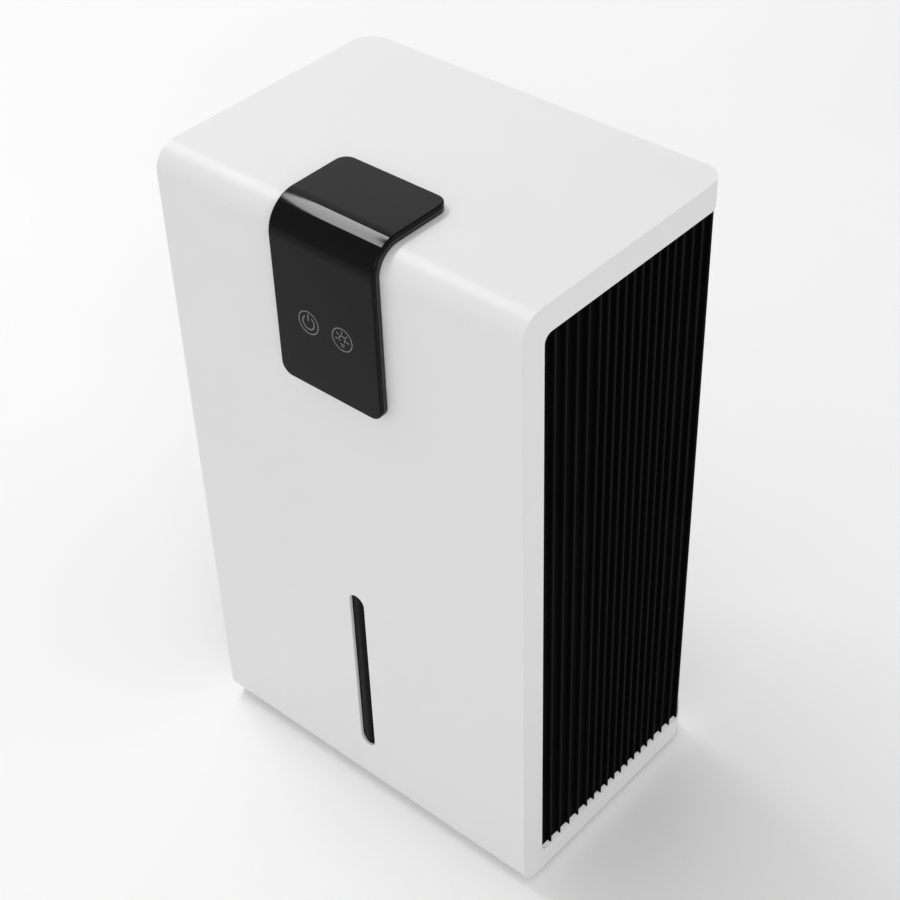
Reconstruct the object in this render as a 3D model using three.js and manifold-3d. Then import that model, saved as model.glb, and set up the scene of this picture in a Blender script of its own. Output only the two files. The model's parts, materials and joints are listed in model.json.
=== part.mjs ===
// Thermoelectric dehumidifier with a 2 litre tank, a touch key panel and a water level window.
// Millimetres, +Z up. The front faces -Y and the tank slides out of the back, along +Y.
// The pieces are drawn in the housing's own frame: y 0 halfway between its front and back faces,
// z 0 at its underside. The last group lifts the housing onto its feet and centres the whole.

import * as THREE from 'three';
import { mergeVertices } from 'three/addons/utils/BufferGeometryUtils.js';
import Module from 'manifold-3d';

const wasm = await Module();
wasm.setup();

// ---- driving dimensions ----

const WIDTH = 210;
const DEPTH = 140;
const HEIGHT = 350;
const WALL = 2;
const FIT = 0.3; // gap left between neighbouring pieces

const TOP_FILLET = 12.2;
const BOTTOM_FILLET = 11;
const REAR_CORNER = 11.8;
const FRONT_EDGE = 1.2;

const BAND_FRONT = 14.4; // width of the housing's plain border round each side panel
const BAND_TOP = 14.5;
const BAND_BOTTOM = 12.4;
const SILL_RISE = 1.7; // the lower border's top edge slopes up inwards by this much
const OPENING_TOP_CORNER = 4.5;
const OPENING_LOW_CORNER = 5.5;
const REAR_LIP = { height: 8, y: 62.4 }; // the border is this much taller at the rear corners

const FOOT_HEIGHT = 2;
const FOOT_RADIUS = 8;
const FOOT_INSET_X = 17;
const FOOT_INSET_Y = 18;

const PANEL_THICK = 1.8;
const RIB_ROOT = 2.6;
const RIB_TIP = 1;
const RIB_HEIGHT = 1.9;
const RIB_BANDS = [
  { first: -47.7, pitch: 7.42, count: 5 },
  { first: -12.2, pitch: 5.78, count: 10 },
  { first: 46.9, pitch: 6.92, count: 3 },
];

const DISPLAY_WIDTH = 60.5;
const DISPLAY_BACK_Y = -25.3;
const DISPLAY_LOW_Z = 264.8;
const DISPLAY_CORNER = 6.2;
const DISPLAY_BASE = [0.1, 2.4]; // from and to, above the housing's surface
const DISPLAY_COVER = [2.75, 4.6];
const KEY_X = 10;
const KEY_Z = 300.7;
const KEY_HOLE = 6;
const KEY_OPENING = { halfWidth: 22, z: [286, 316] }; // in the housing, behind the keys

const SLOT_WIDTH = 9.5;
const SLOT_LOW = 31;
const SLOT_HIGH = 138.5;
const LENS_THICK = 1.6;
const LENS_CROWN = 1;

const BACK_HALF = 89.5; // half width of the rear cover and of the tank's fascia
const COVER_OUTER = 69.9;
const COVER_INNER = 67.95;
const DECK_Z = 150;
const BAY_HALF = 88.3;
const BAY_FLOOR = 15;
const CHASSIS_Y = [-63, 57.5];

const TANK_HALF = 87.8;
const TANK_Y = [-62, 67.65];
const TANK_Z = [15.3, 139];
const TANK_CORNER = 8;
const LID_TOP = 141.3;
const GRIP_HALF = 36;
const GRIP_Z = [103, 128];
const GRIP_DEPTH = 16;
const DRIP_Y = -18;

const STACK_Z = 245; // height of the cooler and the fan
const COLD_WIDTH = 84;
const COLD_HEIGHT = 80;
const HOT_WIDTH = 100;
const HOT_HEIGHT = 110;
const SINK_SCREW_X = 38;
const MODULE_HALF = 20;
const COLD_Y = { tip: -33, root: -3, face: 1 };
const MODULE_Y = [1.2, 4.7];
const HOT_Y = { face: 4.9, root: 9.9, tip: 37.5 };
const FAN_SIZE = 92;
const FAN_BORE = 44;
const FAN_Y = [40.5, 65.5];
const FAN_HOLE = 41.25;
const BLADES = 7;
const GRILLE = { hub: 11, gap: 3.9, bar: 2.1, count: 6 };
const INTAKE = { first: 58, pitch: 6, count: 5, width: 3, spans: [[192, 241], [249, 298]] };
const SHROUD_Y = [30, 40.2];

const COVER_SCREW_X = 80;
const COVER_SCREW_Z = [159, 325];
const BOSS_Y = [52, 61.5];
const BOSS_RADIUS = 4;
const PILOT_RADIUS = 1.7;
const JACK = { x: 66, z: 176, radius: 5.4 };

const FLOAT_PIN = { y: 30, z: 128 };
const FLOAT_X = [66, 78];

const front = -DEPTH / 2;
const back = DEPTH / 2;
const half = WIDTH / 2;
const openingFront = front + BAND_FRONT;
const openingTop = HEIGHT - BAND_TOP;
const pilotY = [BOSS_Y[0] - 1, BOSS_Y[1] + 0.5];

// ---- materials ----

function finish(color, roughness, metalness = 0) {
  return new THREE.MeshStandardMaterial({ color, roughness, metalness });
}

const WHITE = finish(0xe9e9e7, 0.5);
const BLACK = finish(0x17181a, 0.6);
const GLOSS_BLACK = finish(0x0b0b0d, 0.15);
const SMOKED = finish(0x1a1c1f, 0.1);
const RUBBER = finish(0x202020, 0.9);
const GREY = finish(0x55585b, 0.6);
const BOARD = finish(0x1c5a36, 0.5);
const ALUMINIUM = finish(0xc3c6c9, 0.35, 1);
const STEEL = finish(0xa7a9ab, 0.3, 1);
const BRASS = finish(0xb48a4a, 0.35, 1);
const CERAMIC = finish(0xf2f2f0, 0.4);
const FOAM = finish(0xd8d8d2, 0.95);
const COPPER = finish(0xb06a3b, 0.4, 1);
const CHIP = finish(0x151515, 0.5);
const LED_YELLOW = finish(0xe8d87a, 0.4);

// ---- building blocks ----

function solid(geometry) {
  const bare = geometry.clone();
  bare.deleteAttribute('normal');
  bare.deleteAttribute('uv');
  const merged = mergeVertices(bare, 1e-4);
  return new wasm.Manifold(new wasm.Mesh({
    numProp: 3,
    vertProperties: new Float32Array(merged.attributes.position.array),
    triVerts: new Uint32Array(merged.index.array),
  }));
}

function geometryOf(manifold) {
  const mesh = manifold.getMesh();
  const geometry = new THREE.BufferGeometry();
  geometry.setAttribute('position', new THREE.BufferAttribute(mesh.vertProperties, 3));
  geometry.setIndex(new THREE.BufferAttribute(mesh.triVerts, 1));
  return geometry;
}

function join(...geometries) {
  return geometries.map(solid).reduce((sum, next) => sum.add(next));
}

function cut(base, ...tools) {
  return tools.map(solid).reduce((left, tool) => left.subtract(tool), base);
}

function box(x, y, z) {
  const geometry = new THREE.BoxGeometry(x[1] - x[0], y[1] - y[0], z[1] - z[0]);
  return geometry.translate((x[0] + x[1]) / 2, (y[0] + y[1]) / 2, (z[0] + z[1]) / 2);
}

function mirrored(value) {
  return [-value, value];
}

// An outline in X and Y, raised from one height to another.
function raise(shape, z, curveSegments = 4) {
  const options = { depth: z[1] - z[0], bevelEnabled: false, curveSegments };
  return new THREE.ExtrudeGeometry(shape, options).translate(0, 0, z[0]);
}

// An outline in Y and Z, swept along X.
function sweepX(shape, x, curveSegments = 4) {
  const turn = new THREE.Matrix4().makeBasis(
    new THREE.Vector3(0, 1, 0), new THREE.Vector3(0, 0, 1), new THREE.Vector3(1, 0, 0));
  return raise(shape, x, curveSegments).applyMatrix4(turn);
}

// An outline in X and Z, swept along Y.
function sweepY(shape, y, curveSegments = 4) {
  const turn = new THREE.Matrix4().makeBasis(
    new THREE.Vector3(1, 0, 0), new THREE.Vector3(0, 0, 1), new THREE.Vector3(0, -1, 0));
  return raise(shape, [-y[1], -y[0]], curveSegments).applyMatrix4(turn);
}

// A rectangle with a radius for each corner, in the order low-low, high-low, high-high, low-high.
function roundedRect(u, v, radii) {
  const [a, b, c, d] = radii;
  const shape = new THREE.Shape();
  shape.moveTo(u[0] + a, v[0]);
  shape.lineTo(u[1] - b, v[0]);
  if (b) shape.absarc(u[1] - b, v[0] + b, b, -Math.PI / 2, 0);
  shape.lineTo(u[1], v[1] - c);
  if (c) shape.absarc(u[1] - c, v[1] - c, c, 0, Math.PI / 2);
  shape.lineTo(u[0] + d, v[1]);
  if (d) shape.absarc(u[0] + d, v[1] - d, d, Math.PI / 2, Math.PI);
  shape.lineTo(u[0], v[0] + a);
  if (a) shape.absarc(u[0] + a, v[0] + a, a, Math.PI, Math.PI * 1.5);
  return shape;
}

function polygon(points) {
  return new THREE.Shape(points.map(([u, v]) => new THREE.Vector2(u, v)));
}

function rodX(radius, x, y, z, sides = 16) {
  const rod = new THREE.CylinderGeometry(radius, radius, x[1] - x[0], sides).rotateZ(Math.PI / 2);
  return rod.translate((x[0] + x[1]) / 2, y, z);
}

function rodY(radius, x, y, z, sides = 16) {
  const rod = new THREE.CylinderGeometry(radius, radius, y[1] - y[0], sides);
  return rod.translate(x, (y[0] + y[1]) / 2, z);
}

function rodZ(radius, x, y, z, sides = 16) {
  const rod = new THREE.CylinderGeometry(radius, radius, z[1] - z[0], sides).rotateX(Math.PI / 2);
  return rod.translate(x, y, (z[0] + z[1]) / 2);
}

// A ring of rectangular section round an axis parallel to Y.
function ringY(radii, x, y, z, sides = 24) {
  const section = [
    [radii[0], y[0]], [radii[1], y[0]], [radii[1], y[1]], [radii[0], y[1]], [radii[0], y[0]],
  ].map(([r, h]) => new THREE.Vector2(r, h));
  return new THREE.LatheGeometry(section, sides).translate(x, 0, z);
}

const housing = new THREE.Group();

function place(name, shape, material) {
  const geometry = shape instanceof THREE.BufferGeometry ? shape : geometryOf(shape);
  const mesh = new THREE.Mesh(geometry, material);
  mesh.name = name;
  housing.add(mesh);
}

// ---- housing ----

// Side view of the housing, made smaller all round by the inset.
function sideView(inset) {
  const bottom = BOTTOM_FILLET - inset;
  const top = TOP_FILLET - inset;
  return roundedRect([front + inset, back - inset], [inset, HEIGHT - inset], [bottom, 0, 0, top]);
}

// Plan view of the housing, made smaller all round by the inset.
function planView(inset, frontRadius) {
  const rear = REAR_CORNER - inset;
  return roundedRect(mirrored(half - inset), [front + inset, back - inset],
    [frontRadius, frontRadius, rear, rear]);
}

function block(inset, frontRadius) {
  const side = solid(sweepX(sideView(inset), mirrored(half - inset)));
  return side.intersect(solid(raise(planView(inset, frontRadius), [0, HEIGHT])));
}

// The sloping top edge of the lower border, on the right side, raised by the lift.
function sill(lift) {
  const low = BAND_BOTTOM - 0.5;
  const slope = polygon([
    [half - WALL, low], [half + 1, low], [half, BAND_BOTTOM + lift],
    [half - WALL, BAND_BOTTOM + SILL_RISE + lift],
  ]);
  return solid(sweepY(slope, [openingFront - 1, REAR_LIP.y + 1]));
}

function outerShell() {
  const reach = 10;
  const sideOpening = roundedRect([openingFront, back + reach], [BAND_BOTTOM, openingTop],
    [OPENING_LOW_CORNER, 0, 0, OPENING_TOP_CORNER]);
  const levelSlot = roundedRect(mirrored(SLOT_WIDTH / 2), [SLOT_LOW, SLOT_HIGH],
    Array(4).fill(SLOT_WIDTH / 2 - 0.01));
  const outside = block(0, FRONT_EDGE);
  const border = sill(0).intersect(outside);
  let shell = cut(outside.subtract(block(WALL, 0)),
    sweepX(sideOpening, mirrored(half + reach)),
    sweepY(levelSlot, [front - reach, front + reach]),
    box(mirrored(KEY_OPENING.halfWidth), [front - reach, front + reach], KEY_OPENING.z));
  shell = shell.add(border).add(border.mirror([1, 0, 0]));

  const lipWall = solid(raise(planView(0, 0), [BAND_BOTTOM - 1, BAND_BOTTOM + REAR_LIP.height]))
    .subtract(solid(raise(planView(WALL, 0), [0, HEIGHT])));
  for (const side of [-1, 1]) {
    const x = [side * 90, side * (half + reach)].sort((a, b) => a - b);
    const corner = solid(box(x, [REAR_LIP.y, back + reach], [0, HEIGHT]));
    shell = shell.add(lipWall.intersect(corner));
    const web = box([side * COVER_SCREW_X - 1, side * COVER_SCREW_X + 1], BOSS_Y,
      [COVER_SCREW_Z[1], HEIGHT - 1]);
    const boss = rodY(BOSS_RADIUS, side * COVER_SCREW_X, BOSS_Y, COVER_SCREW_Z[1]);
    shell = shell.add(solid(web)).add(solid(boss));
    shell = cut(shell, rodY(PILOT_RADIUS, side * COVER_SCREW_X, pilotY, COVER_SCREW_Z[1]));
  }
  return shell;
}

place('outer_shell', outerShell(), WHITE);

for (const [row, y] of [['front', front + FOOT_INSET_Y], ['rear', back - FOOT_INSET_Y]]) {
  for (const [side, x] of [['left', -half + FOOT_INSET_X], ['right', half - FOOT_INSET_X]]) {
    place(`foot_${row}_${side}`, rodZ(FOOT_RADIUS, x, y, [-FOOT_HEIGHT, -0.05], 24), RUBBER);
  }
}

// ---- ribbed side panels ----

// The panel's plan: a straight side, the rounded rear corner and a short return on the back.
function panelPlan() {
  const outer = half - WALL - FIT;
  const centre = [half - REAR_CORNER, back - REAR_CORNER];
  const bend = outer - centre[0];
  const returnEnd = BAY_HALF + 0.1;
  const shape = new THREE.Shape();
  shape.moveTo(outer - PANEL_THICK, openingFront - 6);
  shape.lineTo(outer, openingFront - 6);
  shape.lineTo(outer, centre[1]);
  shape.absarc(centre[0], centre[1], bend, 0, Math.PI / 2);
  shape.lineTo(returnEnd, centre[1] + bend);
  shape.lineTo(returnEnd, centre[1] + bend - PANEL_THICK);
  shape.lineTo(centre[0], centre[1] + bend - PANEL_THICK);
  shape.absarc(centre[0], centre[1], bend - PANEL_THICK, Math.PI / 2, 0, true);
  return shape;
}

// The plan of one rib: sides that slope in from its root to a rounded tip.
function ribPlan(y) {
  const face = half - WALL - FIT;
  const sunk = face - PANEL_THICK * 0.7;
  const tip = face + RIB_HEIGHT - RIB_TIP / 2;
  const shape = new THREE.Shape();
  shape.moveTo(sunk, y - RIB_ROOT / 2);
  shape.lineTo(face, y - RIB_ROOT / 2);
  shape.lineTo(tip, y - RIB_TIP / 2);
  shape.absarc(tip, y, RIB_TIP / 2, -Math.PI / 2, Math.PI / 2);
  shape.lineTo(face, y + RIB_ROOT / 2);
  shape.lineTo(sunk, y + RIB_ROOT / 2);
  return shape;
}

function sidePanel() {
  let panel = solid(raise(panelPlan(), [8, HEIGHT - 8]));
  for (const { first, pitch, count } of RIB_BANDS) {
    for (let i = 0; i < count; i += 1) {
      const rib = raise(ribPlan(first + i * pitch), [BAND_BOTTOM + FIT, openingTop - FIT], 2);
      panel = panel.add(solid(rib));
    }
  }
  return panel.subtract(sill(FIT + 0.1));
}

const panel = sidePanel();
place('side_panel_right', panel, BLACK);
place('side_panel_left', panel.mirror([1, 0, 0]), BLACK);

// ---- rear cover with the air outlet grille and the intake slots beside it ----

function rearCover() {
  const outline = roundedRect(mirrored(BACK_HALF), [DECK_Z + 0.4, openingTop - 0.6],
    [2, 2, 4, 4]);
  let cover = solid(sweepY(outline, [COVER_INNER, COVER_OUTER]));
  const spokes = join(
    box(mirrored(60), [50, 90], [STACK_Z - 1.5, STACK_Z + 1.5]),
    box(mirrored(60), [50, 90], [-1.5, 1.5]).rotateY(Math.PI / 3).translate(0, 0, STACK_Z),
    box(mirrored(60), [50, 90], [-1.5, 1.5]).rotateY(-Math.PI / 3).translate(0, 0, STACK_Z));
  for (let i = 0; i < GRILLE.count; i += 1) {
    const inner = GRILLE.hub + i * (GRILLE.gap + GRILLE.bar);
    const radii = [inner, inner + GRILLE.gap];
    const gap = solid(ringY(radii, 0, [COVER_INNER - 1, COVER_OUTER + 1], STACK_Z, 18));
    cover = cover.subtract(gap.subtract(spokes));
  }
  for (let i = 0; i < INTAKE.count; i += 1) {
    for (const x of mirrored(INTAKE.first + i * INTAKE.pitch)) {
      for (const span of INTAKE.spans) {
        const sides = [x - INTAKE.width / 2, x + INTAKE.width / 2];
        cover = cut(cover, box(sides, [COVER_INNER - 1, COVER_OUTER + 1], span));
      }
    }
  }
  for (const x of mirrored(COVER_SCREW_X)) {
    for (const z of COVER_SCREW_Z) {
      cover = cover.add(solid(rodY(6, x, [61.8, COVER_OUTER - 0.5], z)));
      cover = cut(cover, rodY(4.4, x, [63.8, COVER_OUTER + 1], z), rodY(1.8, x, [60, 66], z));
    }
  }
  for (const x of mirrored(FAN_HOLE)) {
    for (const z of [STACK_Z - FAN_HOLE, STACK_Z + FAN_HOLE]) {
      cover = cover.add(solid(rodY(3.8, x, [FAN_Y[1] + FIT, COVER_INNER + 0.5], z)));
      cover = cut(cover, rodY(1.7, x, [FAN_Y[1], COVER_OUTER - 0.8], z, 10));
    }
  }
  return cut(cover,
    rodY(JACK.radius + FIT, JACK.x, [COVER_INNER - 1, COVER_OUTER + 1], JACK.z),
    rodY(8, JACK.x, [COVER_OUTER - 0.9, COVER_OUTER + 1], JACK.z));
}

place('rear_cover', rearCover(), BLACK);

let screwNumber = 1;
for (const z of COVER_SCREW_Z) {
  for (const x of mirrored(COVER_SCREW_X)) {
    const screw = cut(join(rodY(3.6, x, [64.1, 66.6], z), rodY(1.4, x, [53, 65], z, 10)),
      box([x - 2.4, x + 2.4], [65.6, 67], [z - 0.5, z + 0.5]),
      box([x - 0.5, x + 0.5], [65.6, 67], [z - 2.4, z + 2.4]));
    place(`cover_screw_${screwNumber}`, screw, STEEL);
    screwNumber += 1;
  }
}

// ---- power inlet ----

function dcJack() {
  const barrel = join(
    rodY(JACK.radius, JACK.x, [52, COVER_OUTER - 0.5], JACK.z),
    rodY(7.6, JACK.x, [COVER_OUTER - 0.6, COVER_OUTER], JACK.z, 20),
    box([JACK.x - 4, JACK.x + 4], [48, 53], [JACK.z - 3, JACK.z + 3]));
  const bore = cut(barrel, rodY(3.1, JACK.x, [58, COVER_OUTER + 1], JACK.z));
  return bore.add(solid(rodY(1.05, JACK.x, [57, 68.4], JACK.z, 8)));
}

place('dc_jack', dcJack(), CHIP);
place('jack_nut', cut(solid(rodY(8, JACK.x, [65.1, COVER_INNER - 0.2], JACK.z, 6)),
  rodY(JACK.radius + 0.2, JACK.x, [60, 70], JACK.z)), STEEL);

// ---- touch key panel over the top front edge ----

// Side view of a layer that lies over the housing's top front edge.
function layerView([low, high], backY, lowZ) {
  const centre = [front + TOP_FILLET, HEIGHT - TOP_FILLET];
  const shape = new THREE.Shape();
  shape.moveTo(backY, HEIGHT + low);
  shape.lineTo(backY, HEIGHT + high);
  shape.lineTo(centre[0], HEIGHT + high);
  shape.absarc(centre[0], centre[1], TOP_FILLET + high, Math.PI / 2, Math.PI);
  shape.lineTo(front - high, lowZ);
  shape.lineTo(front - low, lowZ);
  shape.lineTo(front - low, centre[1]);
  shape.absarc(centre[0], centre[1], TOP_FILLET + low, Math.PI, Math.PI / 2, true);
  return shape;
}

function displayLayer(layer, shrink) {
  const halfWidth = DISPLAY_WIDTH / 2 - shrink;
  const backY = DISPLAY_BACK_Y - shrink;
  const lowZ = DISPLAY_LOW_Z + shrink;
  const corner = DISPLAY_CORNER - shrink;
  const plan = roundedRect(mirrored(halfWidth), [front - 20, backY], [0, 0, corner, corner]);
  const face = roundedRect(mirrored(halfWidth), [lowZ, HEIGHT + 20], [corner, corner, 0, 0]);
  return solid(sweepX(layerView(layer, backY, lowZ), mirrored(halfWidth), 6))
    .intersect(solid(raise(plan, [0, HEIGHT + 20], 4)))
    .intersect(solid(sweepY(face, [front - 20, back], 4)));
}

place('touch_panel_base', cut(displayLayer(DISPLAY_BASE, 0),
  rodY(KEY_HOLE, -KEY_X, [front - 4, front + 4], KEY_Z),
  rodY(KEY_HOLE, KEY_X, [front - 4, front + 4], KEY_Z)), GLOSS_BLACK);
place('touch_panel_cover', displayLayer(DISPLAY_COVER, 0), GLOSS_BLACK);
place('touch_board', box(mirrored(27), [-65.2, -63.6], [282, 322]), BOARD);

// A coiled key spring between the touch board and the cover, its turns along Y.
class Coil extends THREE.Curve {
  constructor(radius, length, turns) {
    super();
    Object.assign(this, { radius, length, turns });
  }

  getPoint(t, target = new THREE.Vector3()) {
    const angle = t * this.turns * Math.PI * 2;
    return target.set(this.radius * Math.cos(angle), t * this.length, this.radius * Math.sin(angle));
  }
}

const springWire = new THREE.Shape().absarc(0, 0, 0.4, 0, Math.PI * 2);
for (const [name, x] of [['power', -KEY_X], ['light', KEY_X]]) {
  const coil = new THREE.ExtrudeGeometry(springWire, {
    steps: 32, curveSegments: 2, bevelEnabled: false, extrudePath: new Coil(4, 5.8, 4),
  });
  place(`touch_spring_${name}`, coil.translate(x, -71.7, KEY_Z), BRASS);
}

// ---- water level window ----

// A plate behind the slot, with a rounded crown that stands into it.
function windowLens() {
  const face = front + WALL + FIT;
  const plate = roundedRect(mirrored(SLOT_WIDTH / 2 + 3), [SLOT_LOW - 3, SLOT_HIGH + 3], [4, 4, 4, 4]);
  const reach = SLOT_WIDTH / 2 - FIT;
  const span = [SLOT_LOW + FIT, SLOT_HIGH - FIT];
  const radius = (reach ** 2 + LENS_CROWN ** 2) / (2 * LENS_CROWN);
  const turn = Math.asin(reach / radius);
  const bow = new THREE.Shape();
  bow.moveTo(-reach, face + LENS_THICK / 2);
  bow.absarc(0, face - LENS_CROWN + radius, radius, -Math.PI / 2 - turn, -Math.PI / 2 + turn);
  bow.lineTo(reach, face + LENS_THICK / 2);
  const outline = roundedRect(mirrored(reach), span, Array(4).fill(reach - 0.01));
  const crown = solid(raise(bow, span, 4)).intersect(solid(sweepY(outline, [front, face + LENS_THICK])));
  return solid(sweepY(plate, [face, face + LENS_THICK], 5)).add(crown);
}

place('window_lens', windowLens(), SMOKED);

// ---- chassis: the tank's bay, the deck over it and the posts ----

function chassis() {
  const wall = BAY_HALF + WALL;
  const deckHalf = 100.3;
  const section = polygon([
    [-wall, BAY_FLOOR - 2.5], [wall, BAY_FLOOR - 2.5], [wall, DECK_Z], [deckHalf, DECK_Z],
    [deckHalf, DECK_Z + 2], [-deckHalf, DECK_Z + 2], [-deckHalf, DECK_Z], [-wall, DECK_Z],
  ]);
  const bay = polygon([
    [-BAY_HALF, BAY_FLOOR], [BAY_HALF, BAY_FLOOR], [BAY_HALF, DECK_Z], [-BAY_HALF, DECK_Z],
  ]);
  section.holes.push(bay);
  let frame = solid(sweepY(section, CHASSIS_Y));
  for (const x of mirrored(COVER_SCREW_X)) {
    for (const y of [-52, 52]) {
      frame = frame.add(solid(rodZ(5, x, y, [WALL + FIT, BAY_FLOOR - 2], 12)));
    }
    const web = box([x - 1, x + 1], [54, BOSS_Y[1]], [DECK_Z + 1, COVER_SCREW_Z[0]]);
    frame = frame.add(solid(web)).add(solid(rodY(BOSS_RADIUS, x, BOSS_Y, COVER_SCREW_Z[0])));
    frame = cut(frame, rodY(PILOT_RADIUS, x, pilotY, COVER_SCREW_Z[0]));
  }
  for (const x of [60, 92]) {
    for (const y of [-54, 20]) {
      frame = frame.add(solid(rodZ(3, x, y, [DECK_Z + 1, DECK_Z + 5.7], 10)));
    }
  }
  for (const x of mirrored(36)) {
    frame = frame.add(solid(rodZ(2, x, -58, [147.9, DECK_Z + 1], 8)));
  }
  return cut(frame,
    rodZ(8, 0, DRIP_Y, [DECK_Z - 1, DECK_Z + 3]),
    box([-70, -50], [-50, -40], [DECK_Z - 1, DECK_Z + 3]));
}

place('chassis', chassis(), GREY);

// ---- cooler: cold sink, thermoelectric module, insulation and hot sink ----

// A finned block in plan: a base with fins that stand up from one side of it.
function comb(halfWidth, baseY, tipY, finHalfSpan, finCount, finThick) {
  const [start, root] = baseY;
  const points = [[-halfWidth, start], [-halfWidth, root]];
  for (let i = 0; i < finCount; i += 1) {
    const x = -finHalfSpan + (i * 2 * finHalfSpan) / (finCount - 1);
    points.push([x - finThick / 2, root], [x - finThick / 2, tipY]);
    points.push([x + finThick / 2, tipY], [x + finThick / 2, root]);
  }
  points.push([halfWidth, root], [halfWidth, start]);
  return polygon(points);
}

const sinkScrewHoles = mirrored(SINK_SCREW_X).map((x) => rodY(2, x, [-10, 9.5], STACK_Z, 12));

const coldZ = [STACK_Z - COLD_HEIGHT / 2, STACK_Z + COLD_HEIGHT / 2];
const hotZ = [STACK_Z - HOT_HEIGHT / 2, STACK_Z + HOT_HEIGHT / 2];
const coldPlan = comb(COLD_WIDTH / 2, [COLD_Y.face, COLD_Y.root], COLD_Y.tip, 33, 14, 1.8);
const hotPlan = comb(HOT_WIDTH / 2, [HOT_Y.face, HOT_Y.root], HOT_Y.tip, 49, 19, 1.6);
const insulationY = [MODULE_Y[0] + 0.1, MODULE_Y[1] - 0.1];
const moduleGap = MODULE_HALF + FIT;

place('cold_sink', cut(solid(raise(coldPlan, coldZ)), ...sinkScrewHoles), ALUMINIUM);
place('peltier_module', box(mirrored(MODULE_HALF), MODULE_Y,
  [STACK_Z - MODULE_HALF, STACK_Z + MODULE_HALF]), CERAMIC);
place('insulation_frame', cut(solid(box(mirrored(COLD_WIDTH / 2), insulationY, coldZ)),
  box(mirrored(moduleGap), [0, 6], [STACK_Z - moduleGap, STACK_Z + moduleGap]),
  ...sinkScrewHoles), FOAM);
place('hot_sink', cut(solid(raise(hotPlan, hotZ)), ...sinkScrewHoles), ALUMINIUM);
place('thermal_cutout', box([43, 49], [1.5, 4.6], [STACK_Z - 7, STACK_Z + 7]), CHIP);

for (const [name, x] of [['left', -SINK_SCREW_X], ['right', SINK_SCREW_X]]) {
  place(`sink_screw_${name}`, cut(join(rodY(3.3, x, [-6.2, -3.2], STACK_Z, 16),
    rodY(1.7, x, [-4, 9.2], STACK_Z, 12)), rodY(1.5, x, [-7, -4.4], STACK_Z, 6)), STEEL);
}

// The shroud leads the air from the hot sink's fins into the fan, and stands on the deck.
function fanShroud() {
  const [halfX, halfZ] = [HOT_WIDTH / 2 + 0.4, HOT_HEIGHT / 2 + 0.4];
  let shroud = solid(box(mirrored(halfX + 2.5), SHROUD_Y, [STACK_Z - halfZ - 2.5, STACK_Z + halfZ + 2.5]));
  for (const x of mirrored(43)) {
    const leg = box([x - 3, x + 3], SHROUD_Y, [DECK_Z + 2.3, STACK_Z - halfZ - 1]);
    shroud = shroud.add(solid(leg));
  }
  return cut(shroud,
    box(mirrored(halfX), [SHROUD_Y[0] - 1, SHROUD_Y[1] - 1.8], [STACK_Z - halfZ, STACK_Z + halfZ]),
    rodY(FAN_BORE, 0, [SHROUD_Y[0], SHROUD_Y[1] + 1], STACK_Z, 36),
    ...mirrored(FAN_HOLE).flatMap((x) => mirrored(FAN_HOLE).map(
      (dz) => rodY(3.6, x, [SHROUD_Y[0], SHROUD_Y[1] + 1], STACK_Z + dz, 12))));
}

place('fan_shroud', fanShroud(), GREY);

// ---- drip tray and its spout ----

// A block whose lower face is smaller than its upper face.
function taper(top, bottom, z) {
  const geometry = box(mirrored(top[0] / 2), mirrored(top[1] / 2), z);
  const position = geometry.attributes.position;
  for (let i = 0; i < position.count; i += 1) {
    if (position.getZ(i) < z[0] + 0.01) {
      position.setX(i, position.getX(i) * bottom[0] / top[0]);
      position.setY(i, position.getY(i) * bottom[1] / top[1]);
    }
  }
  return geometry.translate(0, DRIP_Y, 0);
}

function dripTray() {
  let tray = join(taper([92, 42], [17, 17], [165, 192]), rodZ(6, 0, DRIP_Y, [146, 168]));
  tray = cut(tray, taper([89, 39], [14, 14], [167, 194.2]), rodZ(4.4, 0, DRIP_Y, [140, 170]));
  for (const x of mirrored(22)) {
    const leg = solid(box([x - 1, x + 1], [DRIP_Y - 6, DRIP_Y + 6], [DECK_Z + 2.3, 180]));
    tray = tray.add(leg.subtract(solid(taper([89, 39], [14, 14], [167, 194.2]))));
  }
  return tray;
}

place('drip_tray', dripTray(), WHITE);

// ---- fan ----

function fanFrame() {
  const outline = roundedRect(mirrored(FAN_SIZE / 2), [STACK_Z - FAN_SIZE / 2, STACK_Z + FAN_SIZE / 2],
    [5, 5, 5, 5]);
  let frame = cut(solid(sweepY(outline, FAN_Y, 3)), rodY(FAN_BORE, 0, [30, 80], STACK_Z, 36));
  const strutY = [FAN_Y[1] - 3, FAN_Y[1]];
  for (const turn of [Math.PI / 4, -Math.PI / 4]) {
    const strut = box(mirrored(FAN_BORE + 2), strutY, mirrored(2)).rotateY(turn);
    frame = frame.add(solid(strut.translate(0, 0, STACK_Z)));
  }
  frame = frame.add(solid(rodY(18, 0, strutY, STACK_Z, 24)));
  frame = frame.add(solid(rodY(4.9, 0, [47, FAN_Y[1] - 2], STACK_Z)));
  frame = cut(frame, rodY(3.7, 0, [46, FAN_Y[1] - 1.5], STACK_Z));
  for (const x of mirrored(FAN_HOLE)) {
    for (const z of [STACK_Z - FAN_HOLE, STACK_Z + FAN_HOLE]) {
      frame = cut(frame, rodY(2.1, x, [30, 80], z, 10));
    }
  }
  return frame;
}

// A blade along X, its pitch easing from root to tip.
function blade(root, tip, chord, thick) {
  const geometry = new THREE.BoxGeometry(tip - root, thick, chord, 3, 1, 2);
  const position = geometry.attributes.position;
  const point = new THREE.Vector3();
  for (let i = 0; i < position.count; i += 1) {
    point.fromBufferAttribute(position, i);
    const along = point.x / (tip - root) + 0.5;
    point.x += (root + tip) / 2;
    point.applyAxisAngle(new THREE.Vector3(1, 0, 0), THREE.MathUtils.lerp(0.8, 0.48, along));
    position.setXYZ(i, point.x, point.y, point.z);
  }
  return geometry;
}

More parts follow.
